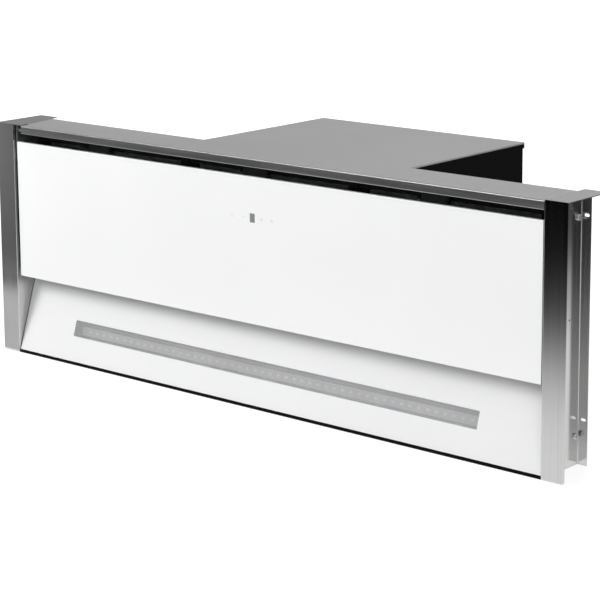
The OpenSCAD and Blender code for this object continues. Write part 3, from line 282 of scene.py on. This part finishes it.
steelLooks = {
    "coverSteel": {
        "dark": (0.52, 0.52, 0.525), "light": (0.61, 0.61, 0.615), "grain": (9, 420, 420), "cloudScale": 3.5,
        "cloudLow": 0.92, "roughness": 0.38, "roughSpread": 0.05, "bumpDepth": 0.00004,
    },
    "foldSteel": {
        "dark": (0.50, 0.50, 0.505), "light": (0.58, 0.58, 0.585), "grain": (9, 420, 420), "cloudScale": 3.5,
        "cloudLow": 0.92, "roughness": 0.1, "roughSpread": 0.02, "bumpDepth": 0.00001,
    },
    "trimSteel": {
        "dark": (0.57, 0.57, 0.57), "light": (0.65, 0.65, 0.645), "grain": (620, 620, 5), "cloudScale": 5,
        "cloudLow": 0.95, "roughness": 0.15, "roughSpread": 0.03, "bumpDepth": 0.00003,
    },
    "webSteel": {
        "dark": (0.47, 0.47, 0.47), "light": (0.58, 0.58, 0.575), "grain": (400, 400, 6), "cloudScale": 16,
        "cloudLow": 0.8, "roughness": 0.2, "roughSpread": 0.05, "bumpDepth": 0.00003,
        "waveScale": 26, "waveStretch": (1, 1, 0.6), "waveDepth": 0.0007,
    },
    "zincPlate": {
        "dark": (0.62, 0.62, 0.63), "light": (0.78, 0.78, 0.77), "grain": (160, 160, 160), "cloudScale": 60,
        "cloudLow": 0.9, "roughness": 0.26, "roughSpread": 0.06, "bumpDepth": 0.00002, "metallic": 0.6,
    },
    "hingeSteel": {
        "dark": (0.60, 0.60, 0.61), "light": (0.76, 0.76, 0.76), "grain": (30, 300, 300), "cloudScale": 25,
        "cloudLow": 0.9, "roughness": 0.14, "roughSpread": 0.04, "bumpDepth": 0.00003, "metallic": 0.9,
    },
    "drawnAluminium": {
        "dark": (0.58, 0.585, 0.59), "light": (0.72, 0.725, 0.73), "grain": (4, 300, 300), "cloudScale": 8,
        "cloudLow": 0.92, "roughness": 0.33, "roughSpread": 0.05, "bumpDepth": 0.00003,
    },
    # Painted shade: the lamp channel's drawn aluminium is made dark grey, as it lies in shade behind the
    # frosted window.
    "shadedGutterAluminium": {
        "dark": (0.19, 0.19, 0.195), "light": (0.25, 0.25, 0.255), "grain": (4, 300, 300), "cloudScale": 8,
        "cloudLow": 0.9, "roughness": 0.45, "roughSpread": 0.05, "bumpDepth": 0.00003,
    },
    # Painted shade: the filter frames' aluminium is made near black, so the gap above the glass reads as dark
    # shade.
    "shadedFilterAluminium": {
        "dark": (0.055, 0.055, 0.057), "light": (0.085, 0.085, 0.088), "grain": (4, 300, 300),
        "cloudScale": 8, "cloudLow": 0.9, "roughness": 0.4, "roughSpread": 0.05, "bumpDepth": 0.00003,
    },
    "meshAluminium": {
        "dark": (0.45, 0.45, 0.455), "light": (0.62, 0.62, 0.625), "grain": (90, 90, 90), "cloudScale": 12,
        "cloudLow": 0.85, "roughness": 0.36, "roughSpread": 0.06, "bumpDepth": 0.00003,
    },
    "bushBronze": {
        "dark": (0.42, 0.26, 0.11), "light": (0.55, 0.36, 0.17), "grain": (700, 700, 700), "cloudScale": 90,
        "cloudLow": 0.85, "roughness": 0.42, "roughSpread": 0.08, "bumpDepth": 0.00005,
    },
    "motorCasting": {
        "dark": (0.33, 0.335, 0.34), "light": (0.46, 0.465, 0.47), "grain": (500, 500, 500), "cloudScale": 30,
        "cloudLow": 0.85, "roughness": 0.5, "roughSpread": 0.06, "bumpDepth": 0.00012,
    },
}
paintLooks = {
    "blackPaint": {
        "dark": (0.0018, 0.0018, 0.002), "light": (0.0032, 0.0032, 0.0035), "specular": 0.05,
        "peelScale": 420, "cloudScale": 9, "roughness": 0.5, "bumpDepth": 0.00003,
    },
}
glassLooks = {
    "upperWhiteGlass": {
        "dark": (0.845, 0.85, 0.848), "light": (0.87, 0.873, 0.872), "edge": (0.62, 0.70, 0.66),
        "specular": 0.5, "cloudScale": 4, "smearScale": 7, "roughness": 0.05, "smearedRoughness": 0.09,
        "bumpDepth": 0.00002,
    },
    # Painted shade: the lower pane is the same white glass as the upper one, with its body and edge colours
    # made darker for the light it gets.
    "shadedLowerWhiteGlass": {
        "dark": (0.762, 0.767, 0.765), "light": (0.785, 0.788, 0.787), "edge": (0.58, 0.66, 0.62),
        "specular": 0.5, "cloudScale": 4, "smearScale": 7, "roughness": 0.06, "smearedRoughness": 0.108,
        "bumpDepth": 0.00002,
    },
}
galvanisedLook = {
    "dark": (0.42, 0.43, 0.44), "light": (0.60, 0.61, 0.62), "crystalScale": 110, "fineScale": 660,
    "roughness": 0.42, "bumpDepth": 0.00004,
}
plasticLooks = {
    "whitePlastic": {"dark": (0.66, 0.66, 0.64), "light": (0.74, 0.74, 0.72), "roughness": 0.42,
                     "grainScale": 1400, "bumpDepth": 0.00004},
    "latchPlastic": {"dark": (0.030, 0.031, 0.033), "light": (0.045, 0.046, 0.049), "roughness": 0.46,
                     "grainScale": 1500, "bumpDepth": 0.00005},
    "blackPlastic": {"dark": (0.010, 0.0105, 0.0115), "light": (0.017, 0.0175, 0.019), "roughness": 0.48,
                     "grainScale": 1300, "bumpDepth": 0.00005},
    "fanPlastic": {"dark": (0.055, 0.058, 0.062), "light": (0.08, 0.084, 0.09), "roughness": 0.5,
                   "grainScale": 900, "bumpDepth": 0.00006},
    "diodeYellow": {"dark": (0.86, 0.85, 0.77), "light": (0.92, 0.91, 0.83), "roughness": 0.35,
                    "grainScale": 2500, "bumpDepth": 0.00002},
    "displayGrey": {"dark": (0.21, 0.215, 0.22), "light": (0.26, 0.265, 0.27), "roughness": 0.12,
                    "grainScale": 1800, "bumpDepth": 0.00001},
    "printedGrey": {"dark": (0.57, 0.58, 0.58), "light": (0.63, 0.64, 0.64), "roughness": 0.3,
                    "grainScale": 2200, "bumpDepth": 0.00001},
}
boardLooks = {
    "whiteBoard": {"dark": (0.49, 0.49, 0.48), "light": (0.57, 0.57, 0.56), "trackScale": 90,
                   "roughness": 0.45, "bumpDepth": 0.00002},
    "greenBoard": {"dark": (0.012, 0.09, 0.035), "light": (0.02, 0.14, 0.06), "trackScale": 70,
                   "roughness": 0.35, "bumpDepth": 0.00003},
}
frostedLook = {
    "dark": (0.80, 0.80, 0.81), "light": (0.86, 0.86, 0.87), "ior": 1.3, "transmission": 0.8,
    "frostScale": 900, "cloudScale": 12, "roughness": 0.17, "bumpDepth": 0.00002,
}

materials = {name: makeSteel(name, look) for name, look in steelLooks.items()}
materials |= {name: makePaint(name, look) for name, look in paintLooks.items()}
materials |= {name: makeWhiteGlass(name, look) for name, look in glassLooks.items()}
materials |= {name: makePlastic(name, look) for name, look in plasticLooks.items()}
materials |= {name: makeBoard(name, look) for name, look in boardLooks.items()}
materials["galvanisedSheet"] = makeGalvanised("galvanisedSheet", galvanisedLook)
materials["frostedWindow"] = makeFrosted("frostedWindow", frostedLook)

nodeFinishes = {
    "coverSteel": ["top_cover"],
    "trimSteel": ["left_trim", "right_trim"],
    "zincPlate": ["trim_screws", "hinge_pins", "motor_screws", "collar_screws", "box_screws", "cover_screws",
                  "damper_pins", "motor_shaft", "door_strikes"],
    "hingeSteel": ["hinge_bracket_left", "hinge_bracket_right"],
    "blackPaint": ["front_chassis", "blower_box", "filter_top_rail", "filter_bottom_rail"],
    "upperWhiteGlass": ["upper_glass"],
    "shadedLowerWhiteGlass": ["lower_glass"],
    "frostedWindow": ["lamp_window"],
    "galvanisedSheet": ["lower_panel_tray", "door_tray", "motor_bracket"],
    "shadedGutterAluminium": ["lamp_channel"],
    "drawnAluminium": ["filter_frame_left", "filter_frame_middle", "filter_frame_right",
                       "run_capacitor"],
    "meshAluminium": ["filter_mesh_left", "filter_mesh_middle", "filter_mesh_right"],
    "motorCasting": ["motor_body"],
    "bushBronze": ["motor_bushes"],
    "whiteBoard": ["led_board"],
    "greenBoard": ["touch_board", "power_board"],
    "diodeYellow": ["led_chips"],
    "whitePlastic": ["led_driver", "terminal_block"],
    "latchPlastic": ["filter_latch_left", "filter_latch_middle", "filter_latch_right"],
    "blackPlastic": ["magnet_catches", "touch_module", "control_box", "control_box_lid", "cable_gland",
                     "gland_nut", "outlet_collar", "damper_flap_left", "damper_flap_right"],
    "fanPlastic": ["scroll_left", "scroll_right", "impeller"],
    "displayGrey": ["display_window"],
    "printedGrey": ["touch_icons"],
}


def finishNodes(finishes):
    for finish, names in finishes.items():
        for name in names:
            slots = cadNodes[name].data.materials
            slots.clear()
            slots.append(materials[finish])
    done = {name for names in finishes.values() for name in names}
    print("nodes finished:", len(done), "left:", sorted(set(cadNodes) - done))


finishNodes(nodeFinishes)


# Measured from the front plane of the hood, in millimetres, as the CAD is.
frontPlane = Vector((0, -170, 0))


def fromFront(point):
    return point / mm - frontPlane


def toRow(point):
    return (Vector(point) + frontPlane) * mm


# A rounded copy of a CAD piece: bends get their radius and every other edge a small one.
# Lengths are in millimetres and angles in degrees.
rounding = {
    "weld": 0.02,
    "flatWithin": 0.5,
    "sharpFrom": 45,
    "lineReach": 0.3,
    "shortestBend": 5,
    "shortestEdge": 1.5,
    "bendSteps": 8,
    "edgeSteps": 2,
    "widthOfFlat": 6,
    "likeFlat": 0.99996,
    "longestSmooth": 60,
    "creaseFrom": 38,
}


def onLine(edge, line):
    return all(
        abs(fromFront(vert.co)["xyz".index(axis)] - value) < rounding["lineReach"]
        for vert in edge.verts for axis, value in line.items()
    )


def faceWidth(face):
    return 2 * face.calc_area() / face.calc_perimeter() / mm


def isSharp(edge, shortest):
    return (
        len(edge.link_faces) == 2 and edge.calc_length() > shortest * mm
        and abs(edge.calc_face_angle(0)) > math.radians(rounding["sharpFrom"])
    )


def bevelEdges(shape, edges, radius, segments):
    bmesh.ops.bevel(
        shape, geom=edges, offset=radius * mm, affect="EDGES", segments=segments, profile=0.5,
        material=-1, clamp_overlap=True)


def roundEdges(shape, look):
    for bend in look.get("bends", []):
        found = [
            edge for edge in shape.edges
            if isSharp(edge, rounding["shortestBend"]) and onLine(edge, bend["line"])
        ]
        if not found:
            print("no edge for a bend of", look["name"], bend["line"])
            continue
        bevelEdges(shape, found, bend["radius"], rounding["bendSteps"])
    kept = look.get("keptSharp", [])
    found = [
        edge for edge in shape.edges
        if isSharp(edge, rounding["shortestEdge"]) and not any(onLine(edge, line) for line in kept)
    ]
    bevelEdges(shape, found, look["edge"], look.get("edgeSteps", rounding["edgeSteps"]))


# Only a narrow face between flats is smooth, and a long one isn't, as it would twist the shine.
def isSmooth(face, flats):
    longest = max(edge.calc_length() for edge in face.edges)
    return (
        longest < rounding["longestSmooth"] * mm and faceWidth(face) < rounding["widthOfFlat"]
        and not any(face.normal.dot(flat) > rounding["likeFlat"] for flat in flats)
    )


def isInside(face, region):
    middle = fromFront(face.calc_center_median())
    return (
        region["y"][0] < middle.y < region["y"][1] and region["z"][0] < middle.z < region["z"][1]
        and abs(face.normal.x) < region["sidewaysUnder"]
    )


def roundedCopy(look):
    node = look["node"]
    second = look.get("second")
    mesh = bpy.data.meshes.new(look["name"])
    shape = bmesh.new()
    shape.from_mesh(cadNodes[node].data)
    bmesh.ops.remove_doubles(shape, verts=shape.verts, dist=rounding["weld"] * mm)
    flatWithin = math.radians(rounding["flatWithin"])
    bmesh.ops.dissolve_limit(shape, angle_limit=flatWithin, verts=shape.verts, edges=shape.edges)
    roundEdges(shape, look)
    shape.normal_update()
    flats = [face.normal.copy() for face in shape.faces if faceWidth(face) > rounding["widthOfFlat"]]
    for face in shape.faces:
        face.smooth = isSmooth(face, flats)
        if second:
            face.material_index = int(isInside(face, second))
    smoothFaces = [face.smooth for face in shape.faces]
    shape.to_mesh(mesh)
    shape.free()
    if "custom_normal" in mesh.attributes:  # the corner normals of the CAD mesh don't fit the new faces
        mesh.attributes.remove(mesh.attributes["custom_normal"])
    mesh.set_sharp_from_angle(angle=math.radians(rounding["creaseFrom"]))
    mesh.polygons.foreach_set("use_smooth", smoothFaces)  # the line above makes every face smooth
    mesh.materials.clear()
    mesh.materials.append(materials[look["finish"]])
    if second:
        mesh.materials.append(materials[second["finish"]])
    piece = bpy.data.objects.new(look["name"], mesh)
    bpy.context.collection.objects.link(piece)
    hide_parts(node)
    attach(piece, look.get("body", "root"))


# Second finishes: for faces whose middle lies between these depths and heights.
trimChannel = {"finish": "webSteel", "y": (1.5, 400), "z": (-1, 307.5), "sidewaysUnder": 2}
coverFold = {"finish": "foldSteel", "y": (-1, 1.9), "z": (306.1, 400), "sidewaysUnder": 0.1}

leftTrimSheet = {
    "name": "leftTrimSheet", "node": "left_trim", "slot": "satin_steel",
    "finish": "trimSteel", "second": trimChannel,
    "bends": [
        {"line": {"x": -419, "y": 0}, "radius": 0.8},
        {"line": {"x": -419, "y": 72}, "radius": 1.8},
        {"line": {"x": -420, "y": 71}, "radius": 1.0},
    ],
    "keptSharp": [{"y": 0, "z": 309}],
    "edge": 0.18,
}
rightTrimSheet = {
    "name": "rightTrimSheet", "node": "right_trim", "slot": "satin_steel",
    "finish": "trimSteel", "second": trimChannel,
    "bends": [
        {"line": {"x": 419, "y": 0}, "radius": 0.8},
        {"line": {"x": 419, "y": 72}, "radius": 1.8},
        {"line": {"x": 420, "y": 71}, "radius": 1.0},
    ],
    "keptSharp": [{"y": 0, "z": 309}],
    "edge": 0.18,
}
coverSheet = {
    "name": "coverSheet", "node": "top_cover", "slot": "satin_steel", "finish": "coverSteel",
    "second": coverFold,
    "bends": [
        {"line": {"x": 187, "z": 308}, "radius": 0.7},
        {"line": {"x": -138, "z": 308}, "radius": 0.7},
        {"line": {"y": 300, "z": 308}, "radius": 0.7},
    ],
    "edge": 0.15,
}
upperGlassPane = {
    "name": "upperGlassPane", "node": "upper_glass", "slot": "upper_white_glass", "body": "glass_door",
    "finish": "upperWhiteGlass", "edge": 0.5, "edgeSteps": 3,
}
lowerGlassPane = {
    "name": "lowerGlassPane", "node": "lower_glass", "slot": "lower_white_glass",
    "finish": "shadedLowerWhiteGlass", "edge": 0.5, "edgeSteps": 3,
}
lampWindowPane = {
    "name": "lampWindowPane", "node": "lamp_window", "slot": "frosted_window",
    "finish": "frostedWindow", "edge": 0.3,
}
chassisPressing = {
    "name": "chassisPressing", "node": "front_chassis", "slot": "black_steel",
    "finish": "blackPaint", "edge": 0.25,
}
blowerBoxShell = {
    "name": "blowerBoxShell", "node": "blower_box", "slot": "black_steel", "finish": "blackPaint",
    "bends": [
        {"line": {"x": -137, "y": 299}, "radius": 1.5},
        {"line": {"x": 186, "y": 299}, "radius": 1.5},
    ],
    "edge": 0.25,
}
doorTrayPressing = {
    "name": "doorTrayPressing", "node": "door_tray", "slot": "galvanised_sheet", "body": "glass_door",
    "finish": "galvanisedSheet", "edge": 0.2,
}
panelTrayPressing = {
    "name": "panelTrayPressing", "node": "lower_panel_tray", "slot": "galvanised_sheet",
    "finish": "galvanisedSheet", "edge": 0.2,
}
outletPipe = {
    "name": "outletPipe", "node": "outlet_collar", "slot": "black_plastic",
    "finish": "blackPlastic", "edge": 0.4,
}
leftFlap = {
    "name": "leftFlap", "node": "damper_flap_left", "slot": "black_plastic", "body": "damper_left",
    "finish": "blackPlastic", "edge": 0.25,
}
rightFlap = {
    "name": "rightFlap", "node": "damper_flap_right", "slot": "black_plastic", "body": "damper_right",
    "finish": "blackPlastic", "edge": 0.25,
}
topRailPressing = {
    "name": "topRailPressing", "node": "filter_top_rail", "slot": "black_steel",
    "finish": "blackPaint", "edge": 0.2,
}
bottomRailPressing = {
    "name": "bottomRailPressing", "node": "filter_bottom_rail", "slot": "black_steel",
    "finish": "blackPaint", "edge": 0.2,
}
filterFrame = {
    "slot": "filter_aluminium", "finish": "shadedFilterAluminium", "edge": 0.5, "edgeSteps": 3,
}
filterLatch = {
    "slot": "latch_plastic", "finish": "latchPlastic", "edge": 0.5, "edgeSteps": 3,
}
leftHinge = {
    "name": "leftHinge", "node": "hinge_bracket_left", "slot": "hinge_steel",
    "finish": "hingeSteel", "edge": 0.2,
}
rightHinge = {
    "name": "rightHinge", "node": "hinge_bracket_right", "slot": "hinge_steel",
    "finish": "hingeSteel", "edge": 0.2,
}
controlCase = {
    "name": "controlCase", "node": "control_box", "slot": "black_plastic",
    "finish": "blackPlastic", "edge": 0.8, "edgeSteps": 3,
}
controlLid = {
    "name": "controlLid", "node": "control_box_lid", "slot": "black_plastic",
    "finish": "blackPlastic", "edge": 0.8, "edgeSteps": 3,
}
touchCase = {
    "name": "touchCase", "node": "touch_module", "slot": "black_plastic", "body": "glass_door",
    "finish": "blackPlastic", "edge": 0.5, "edgeSteps": 3,
}
glandBody = {
    "name": "glandBody", "node": "cable_gland", "slot": "black_plastic",
    "finish": "blackPlastic", "edge": 0.5, "edgeSteps": 3,
}
driverCase = {
    "name": "driverCase", "node": "led_driver", "slot": "white_plastic",
    "finish": "whitePlastic", "edge": 0.6, "edgeSteps": 3,
}
magnetBlocks = {
    "name": "magnetBlocks", "node": "magnet_catches", "slot": "black_plastic",
    "finish": "blackPlastic", "edge": 0.4,
}
lampGutter = {
    "name": "lampGutter", "node": "lamp_channel", "slot": "drawn_aluminium",
    "finish": "shadedGutterAluminium", "edge": 0.25,
}

for look in (
    leftTrimSheet, rightTrimSheet, coverSheet, upperGlassPane, lowerGlassPane, lampWindowPane,
    chassisPressing, blowerBoxShell, doorTrayPressing, panelTrayPressing, outletPipe, leftFlap, rightFlap,
    topRailPressing, bottomRailPressing, leftHinge, rightHinge, controlCase, controlLid, touchCase, glandBody,
    driverCase, magnetBlocks, lampGutter,
):
    roundedCopy(look)
for side in ("Left", "Middle", "Right"):
    low = side.lower()
    roundedCopy(filterFrame | {"name": "filterFrame" + side, "node": "filter_frame_" + low})
    roundedCopy(filterLatch | {"name": "filterLatch" + side, "node": "filter_latch_" + low,
                               "body": "latch_" + low})
print("sheets rounded")


# Grease filters: an expanded-metal grid of diamonds on both faces of each mesh pack.
filterGrid = {
    "diagonal": 1.4,
    "cellWide": 8.0,
    "cellHigh": 4.6,
    "strand": 0.9,
    "thick": 0.7,
    "over": 0.1,
    "slot": "filter_mesh_metal",
    "finish": "meshAluminium",
}


def diamondGrid(name, node, look):
    low, high = (fromFront(corner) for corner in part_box(node))
    wide, tall = high.x - low.x, high.z - low.z
    turned = Matrix.Rotation(math.radians(45), 3, "Z")
    upright = Matrix.Rotation(math.radians(90), 3, "X")
    columns = math.ceil((wide / look["cellWide"] + tall / look["cellHigh"]) / look["diagonal"]) + 2
    shape = bmesh.new()
    bmesh.ops.create_grid(shape, x_segments=columns, y_segments=columns, size=columns / 2 * math.sqrt(0.5))
    bmesh.ops.rotate(shape, cent=(0, 0, 0), matrix=turned, verts=shape.verts)
    bmesh.ops.scale(shape, vec=(look["cellWide"], look["cellHigh"], 1), verts=shape.verts)
    for cut, normal in (((-wide / 2, 0, 0), (-1, 0, 0)), ((wide / 2, 0, 0), (1, 0, 0)),
                        ((0, -tall / 2, 0), (0, -1, 0)), ((0, tall / 2, 0), (0, 1, 0))):
        bmesh.ops.bisect_plane(
            shape, geom=shape.verts[:] + shape.edges[:] + shape.faces[:], plane_co=cut, plane_no=normal,
            clear_outer=True)
    bmesh.ops.wireframe(
        shape, faces=shape.faces, thickness=look["strand"], offset=0, use_replace=True, use_boundary=True,
        use_even_offset=False, use_crease=False, crease_weight=0, use_relative_offset=False,
        material_offset=0)
    bmesh.ops.scale(shape, vec=(1, 1, look["thick"] / look["strand"]), verts=shape.verts)
    bmesh.ops.rotate(shape, cent=(0, 0, 0), matrix=upright, verts=shape.verts)
    rear = bmesh.ops.duplicate(shape, geom=shape.verts[:] + shape.edges[:] + shape.faces[:])["geom"]
    rearVerts = [part for part in rear if isinstance(part, bmesh.types.BMVert)]
    proud = (high.y - low.y) / 2 + look["thick"] / 2 + look["over"]
    bmesh.ops.translate(shape, vec=(0, -proud, 0), verts=shape.verts)
    bmesh.ops.translate(shape, vec=(0, 2 * proud, 0), verts=rearVerts)
    bmesh.ops.scale(shape, vec=(mm, mm, mm), verts=shape.verts)
    bmesh.ops.translate(shape, vec=toRow((low + high) / 2), verts=shape.verts)
    mesh = bpy.data.meshes.new(name)
    shape.to_mesh(mesh)
    shape.free()
    mesh.materials.append(materials[look["finish"]])
    piece = bpy.data.objects.new(name, mesh)
    bpy.context.collection.objects.link(piece)
    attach(piece, "root")
    return len(mesh.polygons)


for side in ("Left", "Middle", "Right"):
    faces = diamondGrid("filterGrid" + side, "filter_mesh_" + side.lower(), filterGrid)
print("filter grids made:", faces, "faces each")


# Stage: a pale floor and sky. The camera, gloss and clear pieces see them white; the floor keeps the shadow.
stageLook = {
    "white": (1, 1, 1),
    "fill": 0.75,
    "floorGlow": 0.80,
    "floorColour": (0.28, 0.28, 0.28),
    "floorHalf": 9.0,
}


def whiteRays(tree):
    path = addNode(tree, "LightPath").outputs
    seen = calculated(tree, "MAXIMUM", path["Is Camera Ray"], path["Is Glossy Ray"])
    return calculated(tree, "MAXIMUM", seen, path["Is Transmission Ray"])


def makeWorld(look):
    world = bpy.data.worlds.new("sky")
    bpy.context.scene.world = world
    world.use_nodes = True
    tree = world.node_tree
    tree.nodes.clear()
    strength = mapped(tree, whiteRays(tree), look["fill"], 1, fromLow=0, fromHigh=1)
    sky = addNode(tree, "Background", {"Color": rgba(look["white"]), "Strength": strength})
    addNode(tree, "OutputWorld", {"Surface": sky.outputs["Background"]})


def stagePiece(name, shape):
    mesh = bpy.data.meshes.new(name)
    shape.to_mesh(mesh)
    shape.free()
    piece = bpy.data.objects.new(name, mesh)
    bpy.context.collection.objects.link(piece)
    material, tree = startMaterial(name)
    mesh.materials.append(material)
    return piece, tree


def flatPiece(name, size, place=(0, 0, 0), turn=Matrix.Identity(3)):
    shape = bmesh.new()
    bmesh.ops.create_grid(shape, x_segments=2, y_segments=2, size=size)
    bmesh.ops.transform(shape, matrix=turn.to_4x4(), verts=shape.verts)
    bmesh.ops.translate(shape, vec=place, verts=shape.verts)
    return stagePiece(name, shape)


def arcPiece(name, look):
    shape = bmesh.new()
    axis = Vector(look["axis"])
    ends = [shape.verts.new(Vector(look["start"]) * radius) for radius in look["radii"]]
    rim = shape.edges.new(ends)
    begin = Matrix.Rotation(math.radians(look["from"]), 3, axis)
    bmesh.ops.rotate(shape, cent=(0, 0, 0), matrix=begin, verts=ends)
    bmesh.ops.spin(
        shape, geom=[*ends, rim], cent=(0, 0, 0), axis=axis, angle=math.radians(look["to"] - look["from"]),
        steps=look["arcSteps"])
    bmesh.ops.translate(shape, vec=look["place"], verts=shape.verts)
    return stagePiece(name, shape)


def makeFloor(look):
    tree = flatPiece("floor", look["floorHalf"])[1]
    surface = addNode(tree, "BsdfDiffuse", {"Color": rgba(look["floorColour"])})
    strength = mapped(tree, whiteRays(tree), 0, look["floorGlow"], fromLow=0, fromHigh=1)
    glow = addNode(tree, "Emission", {"Color": rgba(look["white"]), "Strength": strength})
    both = addNode(tree, "AddShader", {0: surface.outputs["BSDF"], 1: glow.outputs["Emission"]})
    addNode(tree, "OutputMaterial", {"Surface": both.outputs["Shader"]})


# Studio cards: the room round the paper floor is dark, and only gloss shows it.
def ramp(tree, value, steps, reach):
    made = addNode(tree, "ValToRGB", {"Fac": calculated(tree, "DIVIDE", value, reach)})
    stops = made.color_ramp.elements
    while len(stops) < len(steps):
        stops.new(0.5)
    for stop, (position, light) in zip(stops, steps):
        stop.position = position / reach
        stop.color = (light, light, light, 1)
    return made.outputs["Color"]


def emitGloss(card, tree, strength):
    card.visible_camera = False
    card.visible_diffuse = False
    card.visible_transmission = False
    card.visible_volume_scatter = False
    card.visible_shadow = False
    emission = addNode(tree, "Emission", {"Strength": strength})
    addNode(tree, "OutputMaterial", {"Surface": emission.outputs["Emission"]})


floorCard = {
    "half": 5.0,
    "height": 0.002,
    "widthToDepth": 1.6,
    "reach": 2.2,
    "spread": 1.25,
    "steps": [(0.0, 1.0), (0.42, 1.0), (0.50, 0.93), (0.56, 0.83), (0.62, 0.71), (0.70, 0.53),
              (0.785, 0.36), (0.88, 0.19), (0.985, 0.09), (1.10, 0.035), (1.22, 0.018),
              (1.33, 0.01), (1.40, 0.0)],
    "leftSteps": [(0.0, 0.75), (0.25, 0.68), (0.38, 0.74), (0.40, 0.62), (0.415, 0.35),
                  (0.435, 0.10), (0.455, 0.09), (0.475, 0.28), (0.50, 0.31), (0.52, 0.17),
                  (0.56, 0.16), (0.85, 0.24), (1.2, 0.31)],
    "rightSteps": [(0.0, 0.90), (0.33, 0.95), (0.55, 1.0), (0.72, 0.95), (0.83, 0.70), (1.0, 0.55),
                   (1.1, 0.45), (1.22, 0.25), (1.33, 0.14), (1.55, 0.06), (1.8, 0.07)],
    "leftSkew": 1.12,
    "leftFrom": -0.17,
    "leftTo": -0.21,
    "rightFrom": 0.44,
    "rightTo": 0.52,
    "aheadShare": 0.6,
    "aheadFrom": -0.14,
    "aheadTo": -0.06,
}
wallCard = {
    "half": 6.0,
    "back": 4.0,
    "left": 0.24,
    "right": 0.50,
    "from": -5.2,
    "to": -2.0,
    "darkTo": 1.5,
    "whiteFrom": 2.3,
    "white": 1.0,
}
roomCard = {
    "half": 6.0,
    "back": -4.6,
    "left": 0.003,
    "right": 0.003,
    "from": -5.2,
    "to": -2.0,
    "darkTo": 0.4,
    "whiteFrom": 2.2,
    "white": 0.35,
}
ceilingCard = {
    "half": 6.0,
    "height": 4.2,
    "light": 0.16,
}
foldCard = {
    "place": (-2.5, -0.17, 0.31),
    "axis": (-1, 0, 0),
    "start": (0, -1, 0),
    "from": 32,
    "to": 75,
    "radii": (3.35, 4.8),
    "arcSteps": 12,
    "light": 7.0,
}
bendCard = {
    "place": (0.42, -0.1, 0.004),
    "axis": (0, 0, -1),
    "start": (1, 0, 0),
    "from": 8,
    "to": 38,
    "radii": (0.15, 1.5),
    "arcSteps": 12,
    "light": 1.3,
}


# The paper has its own run of light in front of the left trim and at the right trim's rear lip.
def makeFloorCard(look):
    card, tree = flatPiece("floorCard", look["half"], (0, 0, look["height"]))
    vector = addNode(tree, "TexCoord").outputs["Object"]
    place = addNode(tree, "SeparateXYZ", {"Vector": vector}).outputs
    narrowed = {"Vector": vector, "Scale": (1 / look["widthToDepth"], 1, 0)}
    squeezed = addNode(tree, "Mapping", narrowed).outputs["Vector"]
    length = addNode(tree, "VectorMath", {0: squeezed}, operation="LENGTH").outputs["Value"]
    distance = calculated(tree, "MULTIPLY", length, look["spread"])
    paper = ramp(tree, distance, look["steps"], look["reach"])
    share = mapped(tree, place["Y"], look["aheadShare"], 1, look["aheadFrom"], look["aheadTo"])
    rightPaper = calculated(tree, "MULTIPLY", ramp(tree, distance, look["rightSteps"], look["reach"]), share)
    rightness = mapped(tree, place["X"], 0, 1, look["rightFrom"], look["rightTo"])
    depth = calculated(tree, "ABSOLUTE", place["Y"])
    leftPaper = ramp(tree, depth, look["leftSteps"], look["reach"])
    skewed = calculated(tree, "MULTIPLY_ADD", place["Y"], -look["leftSkew"], place["X"])
    leftness = mapped(tree, skewed, 0, 1, look["leftFrom"], look["leftTo"])
    lifted = between(tree, rightness, paper, rightPaper)
    emitGloss(card, tree, between(tree, leftness, lifted, leftPaper))


def makeWallCard(name, look):
    upright = Matrix.Rotation(math.radians(90), 3, "X")
    card, tree = flatPiece(name, look["half"], (0, look["back"], 0), upright)
    place = addNode(tree, "SeparateXYZ", {"Vector": addNode(tree, "TexCoord").outputs["Object"]}).outputs
    low = mapped(tree, place["X"], look["left"], look["right"], look["from"], look["to"])
    height = mapped(tree, place["Z"], 0, 1, look["darkTo"], look["whiteFrom"])
    emitGloss(card, tree, between(tree, height, low, look["white"]))


def makePlainCard(name, look):
    if "radii" in look:
        card, tree = arcPiece(name, look)
    else:
        card, tree = flatPiece(name, look["half"], (0, 0, look["height"]))
    emitGloss(card, tree, look["light"])


# Lamps light the hood without a reflection of their own.
def makeLamp(name, place, aim, side, power):
    data = bpy.data.lights.new(name, "AREA")
    data.shape = "RECTANGLE"
    data.size = side
    data.size_y = side
    data.energy = power
    lamp = bpy.data.objects.new(name, data)
    direction = Vector(aim) - Vector(place)
    lamp.matrix_world = Matrix.Translation(place) @ direction.to_track_quat("-Z", "Y").to_matrix().to_4x4()
    bpy.context.collection.objects.link(lamp)
    lamp.visible_glossy = False


lamps = {
    "keyLamp": {"place": (-1.85, -2.3, 1.9), "aim": (-0.1, -0.1, 0.15), "side": 1.4, "power": 72},
    "fillLamp": {"place": (2.2, -2.2, 1.2), "aim": (0, 0, 0.15), "side": 1.8, "power": 22},
    "rearLamp": {"place": (-1.5, 2.6, 1.5), "aim": (0, 0.3, 0.15), "side": 1.6, "power": 90},
}

makeWorld(stageLook)
makeFloor(stageLook)
makeFloorCard(floorCard)
makeWallCard("wallCard", wallCard)
makeWallCard("roomCard", roomCard)
makePlainCard("ceilingCard", ceilingCard)
makePlainCard("foldCard", foldCard)
makePlainCard("bendCard", bendCard)
for name, lamp in lamps.items():
    makeLamp(name, **lamp)
print("stage set")
